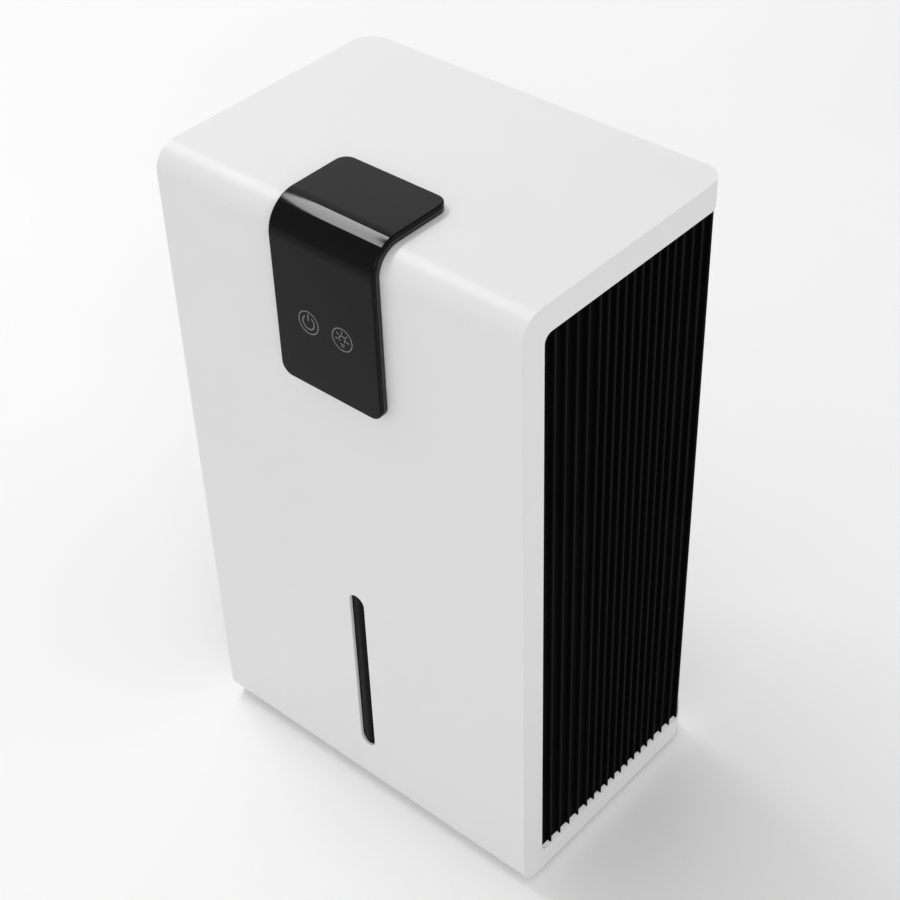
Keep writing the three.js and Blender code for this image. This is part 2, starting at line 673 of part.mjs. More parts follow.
function fanRotor() {
  let rotor = cut(solid(rodY(18, 0, [42, 60.5], STACK_Z, 28)),
    rodY(16.3, 0, [44, 62], STACK_Z, 28), rodY(1.6, 0, [41, 45], STACK_Z, 12));
  for (let i = 0; i < BLADES; i += 1) {
    const one = blade(17.2, 41.3, 22, 1.6).rotateY((i * Math.PI * 2) / BLADES);
    rotor = rotor.add(solid(one.translate(0, 51.3, STACK_Z)));
  }
  return rotor;
}

function fanStator() {
  let stator = solid(rodY(13.4, 0, [49, 59], STACK_Z, 24));
  stator = cut(stator, rodY(5.2, 0, [48, 60], STACK_Z));
  for (let i = 0; i < 4; i += 1) {
    const slot = box([7, 15], [48, 60], mirrored(1.3)).rotateY((i * Math.PI) / 2);
    stator = cut(stator, slot.translate(0, 0, STACK_Z));
  }
  return stator;
}

place('fan_frame', fanFrame(), BLACK);
place('fan_bearing', ringY([1.65, 3.4], 0, [48, 62.5], STACK_Z, 16), BRASS);
place('fan_stator', fanStator(), COPPER);
place('fan_rotor', fanRotor(), BLACK);
place('fan_magnet', ringY([14.2, 16], 0, [46, 60], STACK_Z, 28), GREY);
place('fan_shaft', rodY(1.4, 0, [42.3, 62], STACK_Z, 12), STEEL);

let fanScrew = 1;
for (const z of [STACK_Z - FAN_HOLE, STACK_Z + FAN_HOLE]) {
  for (const x of mirrored(FAN_HOLE)) {
    place(`fan_screw_${fanScrew}`, join(rodY(3, x, [38.2, 40.2], z, 12),
      rodY(1.3, x, [40, 67.5], z, 8)), STEEL);
    fanScrew += 1;
  }
}

// ---- electronics ----

const boardTop = DECK_Z + 7.6;
place('main_board', box([56, 96], [-58, 24], [DECK_Z + 6, boardTop]), BOARD);
place('main_capacitor', rodZ(6.3, 68, -40, [boardTop + 0.2, boardTop + 20], 20), CHIP);
place('main_inductor', cut(solid(rodZ(9, 78, -12, [boardTop + 0.2, boardTop + 9], 20)),
  rodZ(4, 78, -12, [DECK_Z, DECK_Z + 30], 12)), COPPER);
place('power_connector', box([70, 84], [10, 20], [boardTop + 0.2, boardTop + 8]), CERAMIC);

place('level_sensor_board', box([BAY_HALF + WALL + FIT, BAY_HALF + WALL + 1.9], [-32, 4], [104, 134]),
  BOARD);
place('level_sensor', box([BAY_HALF + 4.1, BAY_HALF + 5.6], [-16, -12], [122, 125]), CHIP);

place('night_light_board', box(mirrored(42), [-62, -54], [146, 147.6]), BOARD);
for (let i = 0; i < 3; i += 1) {
  const x = (i - 1) * 28;
  place(`night_light_led_${i + 1}`, box([x - 2.5, x + 2.5], [-60.5, -55.5], [144.6, 145.8]), LED_YELLOW);
}

// ---- leads between the boards, the fan and the thermoelectric module ----

// A round lead through a list of points.
function lead(points, radius) {
  const route = new THREE.CatmullRomCurve3(points.map(([x, y, z]) => new THREE.Vector3(x, y, z)));
  const section = new THREE.Shape().absarc(0, 0, radius, 0, Math.PI * 2);
  return new THREE.ExtrudeGeometry(section, {
    steps: points.length * 3, curveSegments: 4, bevelEnabled: false, extrudePath: route,
  });
}

place('fan_lead', lead([
  [47, 46, 212], [52, 46, 205], [58, 43, 192], [66, 35, 178], [73, 22, 171], [75.5, 15.5, 168.5],
  [76, 15, 166.2],
], 1.2), CHIP);
place('module_lead', lead([
  [42.9, 2.9, 228], [46.5, 2.9, 216], [49, 1.5, 198], [50.5, -1, 182], [55, -3, 170], [60.5, -4, 162.5],
  [61.5, -4, 158.4],
], 1), CHIP);
place('touch_lead', lead([
  [22, -62.6, 280], [27, -62.6, 255], [38, -62.6, 222], [47, -62.6, 196], [53, -61.8, 180],
  [59, -57, 169], [62, -52, 162], [62.5, -50.5, 158.8],
], 0.8), CHIP);

// ---- water tank, its fascia and its lid ----

function tankPlan(inset) {
  return roundedRect(mirrored(TANK_HALF - inset), [TANK_Y[0] + inset, TANK_Y[1] - inset],
    Array(4).fill(TANK_CORNER - inset));
}

function waterTank() {
  let tank = cut(solid(raise(tankPlan(0), TANK_Z, 4)),
    raise(tankPlan(WALL), [TANK_Z[0] + WALL, TANK_Z[1] + 5], 4));
  const pocketBack = TANK_Y[1] - GRIP_DEPTH;
  tank = tank.add(solid(box(mirrored(GRIP_HALF + WALL), [pocketBack - WALL, TANK_Y[1] - 1],
    [GRIP_Z[0] - WALL, GRIP_Z[1] + WALL])));
  return cut(tank, box(mirrored(GRIP_HALF), [pocketBack, TANK_Y[1] + 5], GRIP_Z));
}

function tankFascia() {
  const outline = roundedRect(mirrored(BACK_HALF), [TANK_Z[0], DECK_Z - 0.4], [2, 2, 2, 2]);
  const plate = sweepY(outline, [COVER_INNER, COVER_OUTER], 3);
  const grip = roundedRect(mirrored(GRIP_HALF - 1), [GRIP_Z[0] + 1, GRIP_Z[1] - 1], [5, 5, 5, 5]);
  return cut(solid(plate), sweepY(grip, [60, 80], 4));
}

function tankLid() {
  const rimZ = [TANK_Z[1] - 6, TANK_Z[1] + 1];
  const plate = raise(tankPlan(0), [TANK_Z[1] + FIT, LID_TOP], 4);
  const rim = cut(solid(raise(tankPlan(WALL + FIT), rimZ, 4)),
    raise(tankPlan(WALL + FIT + 1.6), [rimZ[0] - 1, TANK_Z[1] + FIT + 0.5], 4),
    box(mirrored(GRIP_HALF + 3), [50, 80], [rimZ[0] - 1, TANK_Z[1] + FIT]));
  let lid = solid(plate).add(rim);
  lid = lid.add(solid(rodZ(13.5, 0, DRIP_Y, [TANK_Z[1] + 1, LID_TOP + 2.5], 20)));
  for (const x of [FLOAT_X[0] - 3, FLOAT_X[1] + 3]) {
    const lug = box([x - 1, x + 1], [FLOAT_PIN.y - 4, FLOAT_PIN.y + 4], [FLOAT_PIN.z - 4, LID_TOP - 1]);
    lid = lid.add(solid(lug));
  }
  return cut(lid,
    rodZ(11.5, 0, DRIP_Y, [TANK_Z[1] - 2, LID_TOP + 5], 20),
    rodZ(9, -62, -38, [TANK_Z[1] - 2, LID_TOP + 5], 16),
    rodX(1.8, [FLOAT_X[0] - 8, FLOAT_X[1] + 8], FLOAT_PIN.y, FLOAT_PIN.z, 12));
}

place('water_tank', waterTank(), SMOKED);
place('tank_fascia', tankFascia(), BLACK);
place('tank_lid', tankLid(), GREY);

// ---- float that switches the cooler off when the tank is full ----

function floatArm() {
  const foot = { y: -2, z: 112 };
  const bar = polygon([
    [FLOAT_PIN.y - 1, FLOAT_PIN.z - 2.9], [FLOAT_PIN.y - 1, FLOAT_PIN.z + 2.2],
    [foot.y, foot.z + 2.4], [foot.y - 12, foot.z + 2.4], [foot.y - 12, foot.z], [foot.y + 4, foot.z],
  ]);
  return cut(join(sweepX(bar, [FLOAT_X[0] + 2, FLOAT_X[1] - 2]),
    rodX(3.6, FLOAT_X, FLOAT_PIN.y, FLOAT_PIN.z, 16)),
  rodX(1.8, [FLOAT_X[0] - 1, FLOAT_X[1] + 1], FLOAT_PIN.y, FLOAT_PIN.z, 12));
}

const FLOAT_BLOCK = { x: [58, 82], y: [-24, 2], z: [92, 111.7] };
const MAGNET = { y: -12, z: 104 };

place('float_pin', rodX(1.5, [FLOAT_X[0] - 5.5, FLOAT_X[1] + 5.5], FLOAT_PIN.y, FLOAT_PIN.z, 12), STEEL);
place('float_arm', floatArm(), GREY);
place('float_block', cut(solid(box(FLOAT_BLOCK.x, FLOAT_BLOCK.y, FLOAT_BLOCK.z)),
  rodX(3.3, [FLOAT_BLOCK.x[1] - 4, FLOAT_BLOCK.x[1] + 1], MAGNET.y, MAGNET.z, 12)), FOAM);
place('float_magnet', rodX(3, [FLOAT_BLOCK.x[1] - 3.6, FLOAT_BLOCK.x[1]], MAGNET.y, MAGNET.z, 12), STEEL);

// ---- the whole, standing on its feet ----

housing.position.set(0, DISPLAY_COVER[1] / 2, FOOT_HEIGHT);
const dehumidifier = new THREE.Group();
dehumidifier.name = 'dehumidifier';
dehumidifier.add(housing);

export default dehumidifier;
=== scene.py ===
"""Looks of a small thermoelectric dehumidifier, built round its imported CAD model. Metres, +Z up."""

import json
from math import asin, cos, degrees, hypot, pi, radians, sin

import bmesh
import bpy
from mathutils import Matrix, Quaternion, Vector


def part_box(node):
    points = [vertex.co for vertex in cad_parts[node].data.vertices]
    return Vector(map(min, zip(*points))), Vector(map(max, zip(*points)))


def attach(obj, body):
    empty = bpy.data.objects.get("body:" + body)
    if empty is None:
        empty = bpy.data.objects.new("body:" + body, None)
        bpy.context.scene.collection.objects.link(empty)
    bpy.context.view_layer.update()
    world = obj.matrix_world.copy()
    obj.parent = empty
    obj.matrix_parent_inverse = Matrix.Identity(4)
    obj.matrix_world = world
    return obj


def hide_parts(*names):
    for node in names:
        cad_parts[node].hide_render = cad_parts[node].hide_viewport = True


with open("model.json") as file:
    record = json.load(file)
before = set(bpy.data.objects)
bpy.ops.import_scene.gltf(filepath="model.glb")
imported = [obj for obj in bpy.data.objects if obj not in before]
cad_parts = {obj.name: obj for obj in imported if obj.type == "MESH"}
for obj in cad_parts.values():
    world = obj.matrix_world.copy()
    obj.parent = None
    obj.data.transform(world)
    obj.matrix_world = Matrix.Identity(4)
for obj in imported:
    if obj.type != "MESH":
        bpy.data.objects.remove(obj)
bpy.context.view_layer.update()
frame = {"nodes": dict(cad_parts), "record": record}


# ---- sizes, read from the frame where the CAD holds them ----


def span(node, axis):
    low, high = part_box(node)
    index = "xyz".index(axis)
    return low[index], high[index]


LEFT, RIGHT = span("outer_shell", "x")
FRONT, BACK = span("outer_shell", "y")
BASE, TOP = span("outer_shell", "z")
MIDDLE_Y = (FRONT + BACK) / 2

WALL = 0.002
FIT = 0.0003
PAST = 0.02  # how far a cutter reaches past what it cuts
SKIN = 0.0002  # how deep a point may lie and still count as on the outer surface
TOP_FILLET = 0.0122
BOTTOM_FILLET = 0.011
REAR_CORNER = 0.0118
SHELL_EDGE = 0.0018
BAND_FRONT = 0.0144
BAND_TOP = 0.0145
BAND_BOTTOM = 0.0124
SILL_RISE = 0.0017
OPENING_TOP_CORNER = 0.0045
OPENING_LOW_CORNER = 0.0055
OPENING_EDGE = 0.0008
LIP_HEIGHT = 0.008
LIP_FRONT = MIDDLE_Y + 0.0624
LIP_HALF = 0.090

PANEL_THICK = 0.0018
PANEL_LAP = 0.006
PANEL_INSET = 0.008
RETURN_END = 0.0884
RIB_ROOT = 0.0013
RIB_TIP = 0.0005
RIB_HEIGHT = 0.0019
RIB_TOP = RIGHT - WALL - FIT + RIB_HEIGHT
RIB_BANDS = ((-0.0477, 0.00742, 5), (-0.0122, 0.00578, 10), (0.0469, 0.00692, 3))  # first, pitch, count

SLOT_HALF = 0.00475
SLOT_LOW, SLOT_HIGH = BASE + 0.031, BASE + 0.1385
SLOT_EDGE = 0.0006

KEY_X = 0.010
KEY_Z = BASE + 0.3007
KEY_CORNER = 0.0062
KEY_WINDOW_X = (-0.022, 0.022)
KEY_WINDOW_Z = (BASE + 0.286, BASE + 0.316)
BASE_LAYER = (0.0001, 0.0024)
COVER_LAYER = (0.00275, 0.00455)

STACK_Z = sum(span("fan_frame", "z")) / 2

CAMERA_AZIMUTH = 42.29
CAMERA_ELEVATION = 39.83
CAMERA_ROLL = -2.13
CAMERA_DISTANCE = 0.9182
CAMERA_LENS = 74.2
AIM = Vector((-0.0026, 0.0072, 0.1834))


# ---- outlines and meshes ----


def arc(centre, radius, start, end, steps):
    """Points on a circle's arc, from start to end in degrees."""
    points = []
    for i in range(steps + 1):
        angle = radians(start + (end - start) * i / steps)
        points.append((centre[0] + radius * cos(angle), centre[1] + radius * sin(angle)))
    return points


def rounded_rect(u, v, radii, steps=10):
    """A rectangle with a radius for each corner: low-low, high-low, high-high, low-high."""
    corners = (
        (u[0], v[0], 1, 1, 180), (u[1], v[0], -1, 1, 270),
        (u[1], v[1], -1, -1, 0), (u[0], v[1], 1, -1, 90),
    )
    points = []
    for (x, y, inward_x, inward_y, start), radius in zip(corners, radii):
        if radius == 0:
            points.append((x, y))
            continue
        centre = (x + inward_x * radius, y + inward_y * radius)
        points += arc(centre, radius, start, start + 90, steps)
    return points


def piece(name, mesh):
    obj = bpy.data.objects.new(name, mesh)
    bpy.context.collection.objects.link(obj)
    return obj


def from_bmesh(name, bm):
    bmesh.ops.recalc_face_normals(bm, faces=bm.faces)
    mesh = bpy.data.meshes.new(name)
    bm.to_mesh(mesh)
    bm.free()
    return piece(name, mesh)


PLACES = {
    "x": lambda u, v, along: (along, u, v),
    "y": lambda u, v, along: (u, along, v),
    "z": lambda u, v, along: (u, v, along),
}


def prism(name, outline, axis, reach):
    """A closed outline swept straight along an axis."""
    bm = bmesh.new()
    ends = [[bm.verts.new(PLACES[axis](u, v, along)) for u, v in outline] for along in reach]
    bm.faces.new(ends[0])
    bm.faces.new(ends[1])
    count = len(outline)
    for i in range(count):
        j = (i + 1) % count
        bm.faces.new((ends[0][i], ends[0][j], ends[1][j], ends[1][i]))
    return from_bmesh(name, bm)


def box(name, x, y, z):
    return prism(name, [(x[0], y[0]), (x[1], y[0]), (x[1], y[1]), (x[0], y[1])], "z", z)


def lathe(name, profile, centre, axis, steps=48):
    """A profile of (radius, height along the axis) turned round it, closed on itself or on the axis."""
    bm = bmesh.new()
    rings = []
    for radius, height in profile:
        if radius == 0:
            rings.append([bm.verts.new((0, 0, height))])
            continue
        turn = [2 * pi * i / steps for i in range(steps)]
        rings.append([bm.verts.new((radius * cos(a), radius * sin(a), height)) for a in turn])
    on_axis = profile[0][0] == 0
    pairs = list(zip(rings, rings[1:]))
    if not on_axis:
        pairs.append((rings[-1], rings[0]))
    for one, two in pairs:
        for i in range(steps):
            j = (i + 1) % steps
            corners = [one[i % len(one)], one[j % len(one)], two[j % len(two)], two[i % len(two)]]
            unique = list(dict.fromkeys(corners))
            if len(unique) > 2:
                bm.faces.new(unique)
    turns = {
        "x": Matrix.Rotation(pi / 2, 4, "Y"),
        "y": Matrix.Rotation(-pi / 2, 4, "X"),
        "z": Matrix.Identity(4),
    }
    bmesh.ops.transform(bm, matrix=Matrix.Translation(centre) @ turns[axis], verts=bm.verts)
    return from_bmesh(name, bm)


def soft_bar(inner, outer, low, high, soft, steps=4):
    """A ring's section, in (radius, height), with rounded corners."""
    return rounded_rect((inner, outer), (low, high), [soft] * 4, steps)


def disc(radius, low, high, soft, steps=4):
    """A disc's profile on the axis, with rounded rims."""
    points = [(0, low)]
    points += arc((radius - soft, low + soft), soft, 270, 360, steps)
    points += arc((radius - soft, high - soft), soft, 0, 90, steps)
    return points + [(0, high)]


def bore(radius, place, steps=48):
    """A round cutter along Y, from its place backwards."""
    return lathe("bore", disc(radius, 0, 4 * PAST, 0), place, "y", steps)


def turned(obj, angle, place):
    """Turns a piece made at the origin about the Y axis, in degrees, and moves it to its place."""
    turn = Matrix.Rotation(radians(angle), 4, "Y")
    obj.data.transform(Matrix.Translation(place) @ turn)
    return obj


def apply_modifiers(obj):
    bpy.context.view_layer.update()
    graph = bpy.context.evaluated_depsgraph_get()
    done = obj.evaluated_get(graph)
    mesh = bpy.data.meshes.new_from_object(done, preserve_all_data_layers=True, depsgraph=graph)
    obj.modifiers.clear()
    obj.data = mesh


def boolean(target, operation, *tools):
    """Joins each tool to the target, cuts it away or keeps what they share, and drops the tool."""
    for tool in tools:
        modifier = target.modifiers.new("cut", "BOOLEAN")
        modifier.operation = operation
        modifier.solver = "EXACT"
        modifier.object = tool
        apply_modifiers(target)
        bpy.data.objects.remove(tool)
    return target


def merge(name, *parts):
    """Puts several meshes in one piece."""
    bm = bmesh.new()
    for part in parts:
        bm.from_mesh(part.data)
        bpy.data.objects.remove(part)
    mesh = bpy.data.meshes.new(name)
    bm.to_mesh(mesh)
    bm.free()
    return piece(name, mesh)


def round_edges(obj, width, segments=3, pick=lambda point: True, angle=40, clamp=True):
    """Rounds the edges that turn by more than the angle, where pick says so."""
    bm = bmesh.new()
    bm.from_mesh(obj.data)
    bmesh.ops.remove_doubles(bm, verts=bm.verts, dist=2e-6)
    bmesh.ops.dissolve_limit(bm, angle_limit=radians(0.3), verts=bm.verts, edges=bm.edges)
    edges = []
    for edge in bm.edges:
        if len(edge.link_faces) == 2 and degrees(edge.calc_face_angle(0)) > angle:
            if pick((edge.verts[0].co + edge.verts[1].co) / 2):
                edges.append(edge)
    bmesh.ops.bevel(bm, geom=edges, offset=width, segments=segments, profile=0.5, affect="EDGES",
                    clamp_overlap=clamp)
    bm.to_mesh(obj.data)
    bm.free()
    return obj


def shade(obj, sharp=30):
    """Smooth shading that keeps edges over the sharp angle, with flat faces kept flat."""
    bm = bmesh.new()
    bm.from_mesh(obj.data)
    for face in bm.faces:
        face.smooth = True
    for edge in bm.edges:
        edge.smooth = len(edge.link_faces) == 2 and degrees(edge.calc_face_angle(0)) < sharp
    bm.to_mesh(obj.data)
    bm.free()
    modifier = obj.modifiers.new("normals", "WEIGHTED_NORMAL")
    modifier.keep_sharp = True
    apply_modifiers(obj)
    return obj


def finish_piece(obj, material, slot, body, *nodes, sharp=30):
    shade(obj, sharp)
    obj.data.materials.clear()
    obj.data.materials.append(material)
    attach(obj, body)
    if nodes:
        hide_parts(*nodes)
    return obj


# ---- materials ----


class Surface:
    """A material under way: its nodes, its Principled shader and the object's own coordinates."""

    def __init__(self, name, roughness, metallic=0.0):
        self.material = bpy.data.materials.new(name)
        self.material.use_nodes = True
        self.tree = self.material.node_tree
        self.shader = self.tree.nodes["Principled BSDF"]
        self.shader.inputs["Roughness"].default_value = roughness
        self.shader.inputs["Metallic"].default_value = metallic
        self.place = self.tree.nodes.new("ShaderNodeTexCoord").outputs["Object"]

    def node(self, kind, **values):
        made = self.tree.nodes.new(kind)
        for key, value in values.items():
            if key in made.inputs:
                made.inputs[key].default_value = value
            else:
                setattr(made, key, value)
        return made

    def link(self, source, target):
        self.tree.links.new(source, target)

    def stretched(self, scale):
        mapping = self.node("ShaderNodeMapping")
        mapping.inputs["Scale"].default_value = scale
        self.link(self.place, mapping.inputs["Vector"])
        return mapping.outputs["Vector"]

    def noise(self, scale, detail=2.0, vector=None):
        made = self.node("ShaderNodeTexNoise", Scale=scale, Detail=detail)
        self.link(vector or self.place, made.inputs["Vector"])
        return made.outputs["Fac"]

    def spread(self, factor, low, high):
        """A value that runs from low to high as the noise does."""
        made = self.node("ShaderNodeMapRange")
        made.inputs["From Min"].default_value = 0.3
        made.inputs["From Max"].default_value = 0.7
        made.inputs["To Min"].default_value = low
        made.inputs["To Max"].default_value = high
        self.link(factor, made.inputs["Value"])
        return made.outputs["Result"]

    def blend(self, factor, one, two):
        """A colour between two, each a colour or a socket."""
        made = self.node("ShaderNodeMix", data_type="RGBA")
        self.link(factor, made.inputs["Factor"])
        for socket, colour in ((made.inputs[6], one), (made.inputs[7], two)):
            if isinstance(colour, tuple):
                socket.default_value = (*colour, 1)
            else:
                self.link(colour, socket)
        return made.outputs[2]

    def bump(self, height, depth, strength=1.0, below=None):
        made = self.node("ShaderNodeBump", Strength=strength, Distance=depth)
        self.link(height, made.inputs["Height"])
        if below:
            self.link(below, made.inputs["Normal"])
        return made.outputs["Normal"]

    def set(self, **sockets):
        for name, source in sockets.items():
            self.link(source, self.shader.inputs[name.replace("_", " ")])
        return self.material

    def fixed(self, **sockets):
        for name, value in sockets.items():
            self.shader.inputs[name.replace("_", " ")].default_value = value


def tinted(colour, factor):
    return tuple(channel * factor for channel in colour)


def moulded(name, colour, roughness, grain=0.0006, depth=0.00002, spread=0.03, specular=0.5):
    """Moulded plastic: a fine grain from the mould, slight mottling and a roughness that varies."""
    made = Surface(name, roughness)
    made.fixed(Specular_IOR_Level=specular)
    mottle = made.spread(made.noise(22, 3), 0, 1)
    fine = made.noise(1 / grain, 2)
    shades = made.blend(mottle, tinted(colour, 1 - spread), tinted(colour, 1 + spread))
    rough = made.spread(made.noise(60, 4), roughness * 0.9, roughness * 1.1)
    return made.set(Base_Color=shades, Roughness=rough, Normal=made.bump(fine, depth, 0.5))


def ribbed(name, colour, crest_highlight_colour, roughness, crest, specular):
    """The side panels' plastic, paler on the rib crests as a painted highlight, from where the crest starts
    to where it is full.
    """
    made = Surface(name, roughness)
    made.fixed(Specular_IOR_Level=specular)
    split = made.node("ShaderNodeSeparateXYZ")
    made.link(made.place, split.inputs[0])
    outward = made.node("ShaderNodeMath", operation="ABSOLUTE")
    made.link(split.outputs["X"], outward.inputs[0])
    rise = made.node("ShaderNodeMapRange")
    rise.inputs["From Min"].default_value, rise.inputs["From Max"].default_value = crest
    made.link(outward.outputs[0], rise.inputs["Value"])
    # Painted highlight: the rib crests get the paler colour, patchy along their length.
    painted_crest_highlight = made.node("ShaderNodeMath", operation="MULTIPLY")
    made.link(rise.outputs["Result"], painted_crest_highlight.inputs[0])
    made.link(made.spread(made.noise(140, 3, made.stretched((1, 1, 0.12))), 0.75, 1), painted_crest_highlight.inputs[1])
    mottle = made.spread(made.noise(22, 3), 0, 1)
    base = made.blend(mottle, tinted(colour, 0.85), tinted(colour, 1.15))
    shades = made.blend(painted_crest_highlight.outputs[0], base, crest_highlight_colour)
    rough = made.spread(made.noise(60, 4), roughness * 0.9, roughness * 1.1)
    fine = made.noise(2000, 2)
    return made.set(Base_Color=shades, Roughness=rough, Normal=made.bump(fine, 0.00002, 0.5))


def polished(name, colour, roughness, specular):
    """Polished plastic: a faint long wave in the surface and fine rubbing marks in its roughness."""
    made = Surface(name, roughness)
    made.fixed(Specular_IOR_Level=specular)
    mottle = made.spread(made.noise(30, 2), 0, 1)
    shades = made.blend(mottle, tinted(colour, 0.92), tinted(colour, 1.08))
    rubbed = made.noise(900, 3, made.stretched((1, 0.15, 1)))
    rough = made.spread(rubbed, roughness * 0.8, roughness * 1.3)
    return made.set(Base_Color=shades, Roughness=rough, Normal=made.bump(made.noise(45, 1), 0.00004, 0.4))


def smoked(name, colour, roughness, through=0.85):
    """Smoked clear plastic."""
    made = Surface(name, roughness)
    made.fixed(Transmission_Weight=through, IOR=1.49)
    mottle = made.spread(made.noise(25, 2), 0, 1)
    shades = made.blend(mottle, tinted(colour, 0.9), tinted(colour, 1.1))
    rough = made.spread(made.noise(60, 3), roughness * 0.9, roughness * 1.2)
    return made.set(Base_Color=shades, Roughness=rough, Normal=made.bump(made.noise(30, 1), 0.00002, 0.3))


def metal(name, colour, roughness, grain=(1, 1, 0.03), scale=1500):
    """Drawn or plated metal, its lines running along the axis with the small grain number."""
    made = Surface(name, roughness, 1.0)
    lines = made.noise(scale, 3, made.stretched(grain))
    mottle = made.spread(made.noise(80, 3), 0, 1)
    shades = made.blend(mottle, tinted(colour, 0.88), tinted(colour, 1.06))
    rough = made.spread(lines, roughness * 0.75, roughness * 1.35)
    return made.set(Base_Color=shades, Roughness=rough, Normal=made.bump(lines, 0.00001, 0.5))


def circuit(name):
    """A printed board: green solder mask over copper tracks, with tinned pads."""
    made = Surface(name, 0.35)
    tracks = made.node("ShaderNodeTexBrick", Scale=160, offset=0.37)
    tracks.inputs["Mortar Size"].default_value = 0.09
    tracks.inputs["Color1"].default_value = (0.012, 0.10, 0.04, 1)
    tracks.inputs["Color2"].default_value = (0.016, 0.12, 0.05, 1)
    tracks.inputs["Mortar"].default_value = (0.03, 0.20, 0.07, 1)
    made.link(made.place, tracks.inputs["Vector"])
    pads = made.node("ShaderNodeTexVoronoi", Scale=210)
    made.link(made.place, pads.inputs["Vector"])
    near = made.node("ShaderNodeMath", operation="LESS_THAN")
    near.inputs[1].default_value = 0.16
    made.link(pads.outputs["Distance"], near.inputs[0])
    shades = made.blend(near.outputs[0], tracks.outputs["Color"], (0.62, 0.6, 0.55))
    relief = made.bump(tracks.outputs["Fac"], 0.00003, 0.5)
    return made.set(Base_Color=shades, Metallic=near.outputs[0], Normal=relief)


def foamed(name, colour):
    """Closed-cell foam."""
    made = Surface(name, 0.9)
    cells = made.node("ShaderNodeTexVoronoi", Scale=900)
    made.link(made.place, cells.inputs["Vector"])
    shades = made.blend(cells.outputs["Distance"], tinted(colour, 0.8), tinted(colour, 1.05))
    return made.set(Base_Color=shades, Normal=made.bump(cells.outputs["Distance"], 0.0003, 0.8))


def wound(name, colour):
    """Enamelled copper wire, wound side by side, darker between the turns as painted shade in the grooves.
    """
    made = Surface(name, 0.3, 1.0)
    turns = made.node("ShaderNodeTexWave", Scale=700, Distortion=0.4, bands_direction="Z")
    made.link(made.place, turns.inputs["Vector"])
    # Painted shade: the colour darkens where the bump sinks between turns.
    shades = made.blend(turns.outputs["Fac"], tinted(colour, 0.35), colour)
    return made.set(Base_Color=shades, Normal=made.bump(turns.outputs["Fac"], 0.0002, 0.8))


def pale_floor(name):
    made = Surface(name, 0.9)
    made.fixed(Specular_IOR_Level=0.2)
    mottle = made.spread(made.noise(3, 3), 0, 1)
    shades = made.blend(mottle, (0.93, 0.93, 0.93), (0.95, 0.95, 0.95))
    return made.set(Base_Color=shades, Normal=made.bump(made.noise(400, 3), 0.0001, 0.2))


WHITE = moulded("white_abs", (0.76, 0.76, 0.76), 0.42, grain=0.0007, depth=0.000012, spread=0.006)
BLACK = moulded("black_abs", (0.0035, 0.0035, 0.0037), 0.5, grain=0.0005, depth=0.00002, specular=0.1)
# The ribbed material's second, paler colour is a painted highlight on the rib crests.
RIBBED = ribbed("black_abs_ribbed", (0.0014, 0.0014, 0.0015), (0.012, 0.012, 0.0123), 0.5,
                (RIB_TOP - 0.0008, RIB_TOP - 0.0002), 0.012)
GLOSS = polished("gloss_black", (0.0015, 0.0015, 0.0017), 0.06, specular=0.118)
KEY_BASE = polished("gloss_black_base", (0.003, 0.003, 0.0033), 0.12, specular=0.5)
LENS = polished("smoked_lens", (0.002, 0.002, 0.0022), 0.1, specular=0.032)
TANK = smoked("smoked_tank", (0.22, 0.23, 0.24), 0.07)
PRINT = moulded("grey_print", (0.15, 0.15, 0.15), 0.4, grain=0.0003)
RUBBER = moulded("foot_rubber", (0.03, 0.03, 0.03), 0.8, grain=0.0004, depth=0.00006, spread=0.1)
GREY = moulded("grey_abs", (0.11, 0.115, 0.12), 0.55, spread=0.06)
TRAY = moulded("tray_plastic", (0.62, 0.62, 0.61), 0.5)
FAN = moulded("fan_plastic", (0.012, 0.012, 0.013), 0.45, spread=0.08)
COMPONENT = moulded("black_component", (0.018, 0.018, 0.019), 0.35, spread=0.1)
NYLON = moulded("connector_nylon", (0.62, 0.6, 0.52), 0.45)
CERAMIC = moulded("alumina", (0.8, 0.8, 0.78), 0.45, grain=0.0003)
LED = moulded("led_lens", (0.85, 0.72, 0.25), 0.3)
FERRITE = moulded("ferrite", (0.05, 0.05, 0.055), 0.5, grain=0.0004, depth=0.00005, spread=0.15)
ALUMINIUM = metal("drawn_aluminium", (0.78, 0.79, 0.8), 0.32)
STEEL = metal("zinc_plate", (0.62, 0.62, 0.63), 0.3, grain=(1, 1, 1), scale=900)
BRASS = metal("brass", (0.72, 0.52, 0.24), 0.3, grain=(1, 1, 1), scale=900)
BOARD = circuit("circuit_board")
FOAM = foamed("closed_cell_foam", (0.72, 0.72, 0.68))
WIRE = moulded("wire_cover", (0.02, 0.02, 0.02), 0.5, spread=0.1)
COPPER = wound("copper_winding", (0.72, 0.32, 0.14))

SLOT_MATERIALS = {
    "white_shell": WHITE, "black_panel": BLACK, "gloss_black": GLOSS, "smoked_plastic": TANK,
    "foot_rubber": RUBBER, "grey_plastic": GREY, "tray_plastic": TRAY, "circuit_board": BOARD,
    "aluminium": ALUMINIUM, "steel": STEEL, "brass": BRASS, "ceramic": CERAMIC, "foam": FOAM,
    "fan_plastic": FAN, "ferrite": FERRITE, "copper_coil": COPPER, "black_component": COMPONENT,
    "connector_plastic": NYLON, "led": LED, "wire_cover": WIRE,
}


def dress_cad_nodes():
    """Gives each CAD node the procedural material of its slot."""
    for entry in frame["record"]["subparts"]:
        node = frame["nodes"][entry["node"]]
        node.data.materials.clear()
        node.data.materials.append(SLOT_MATERIALS[entry["material_slot"]])


# ---- white shell ----


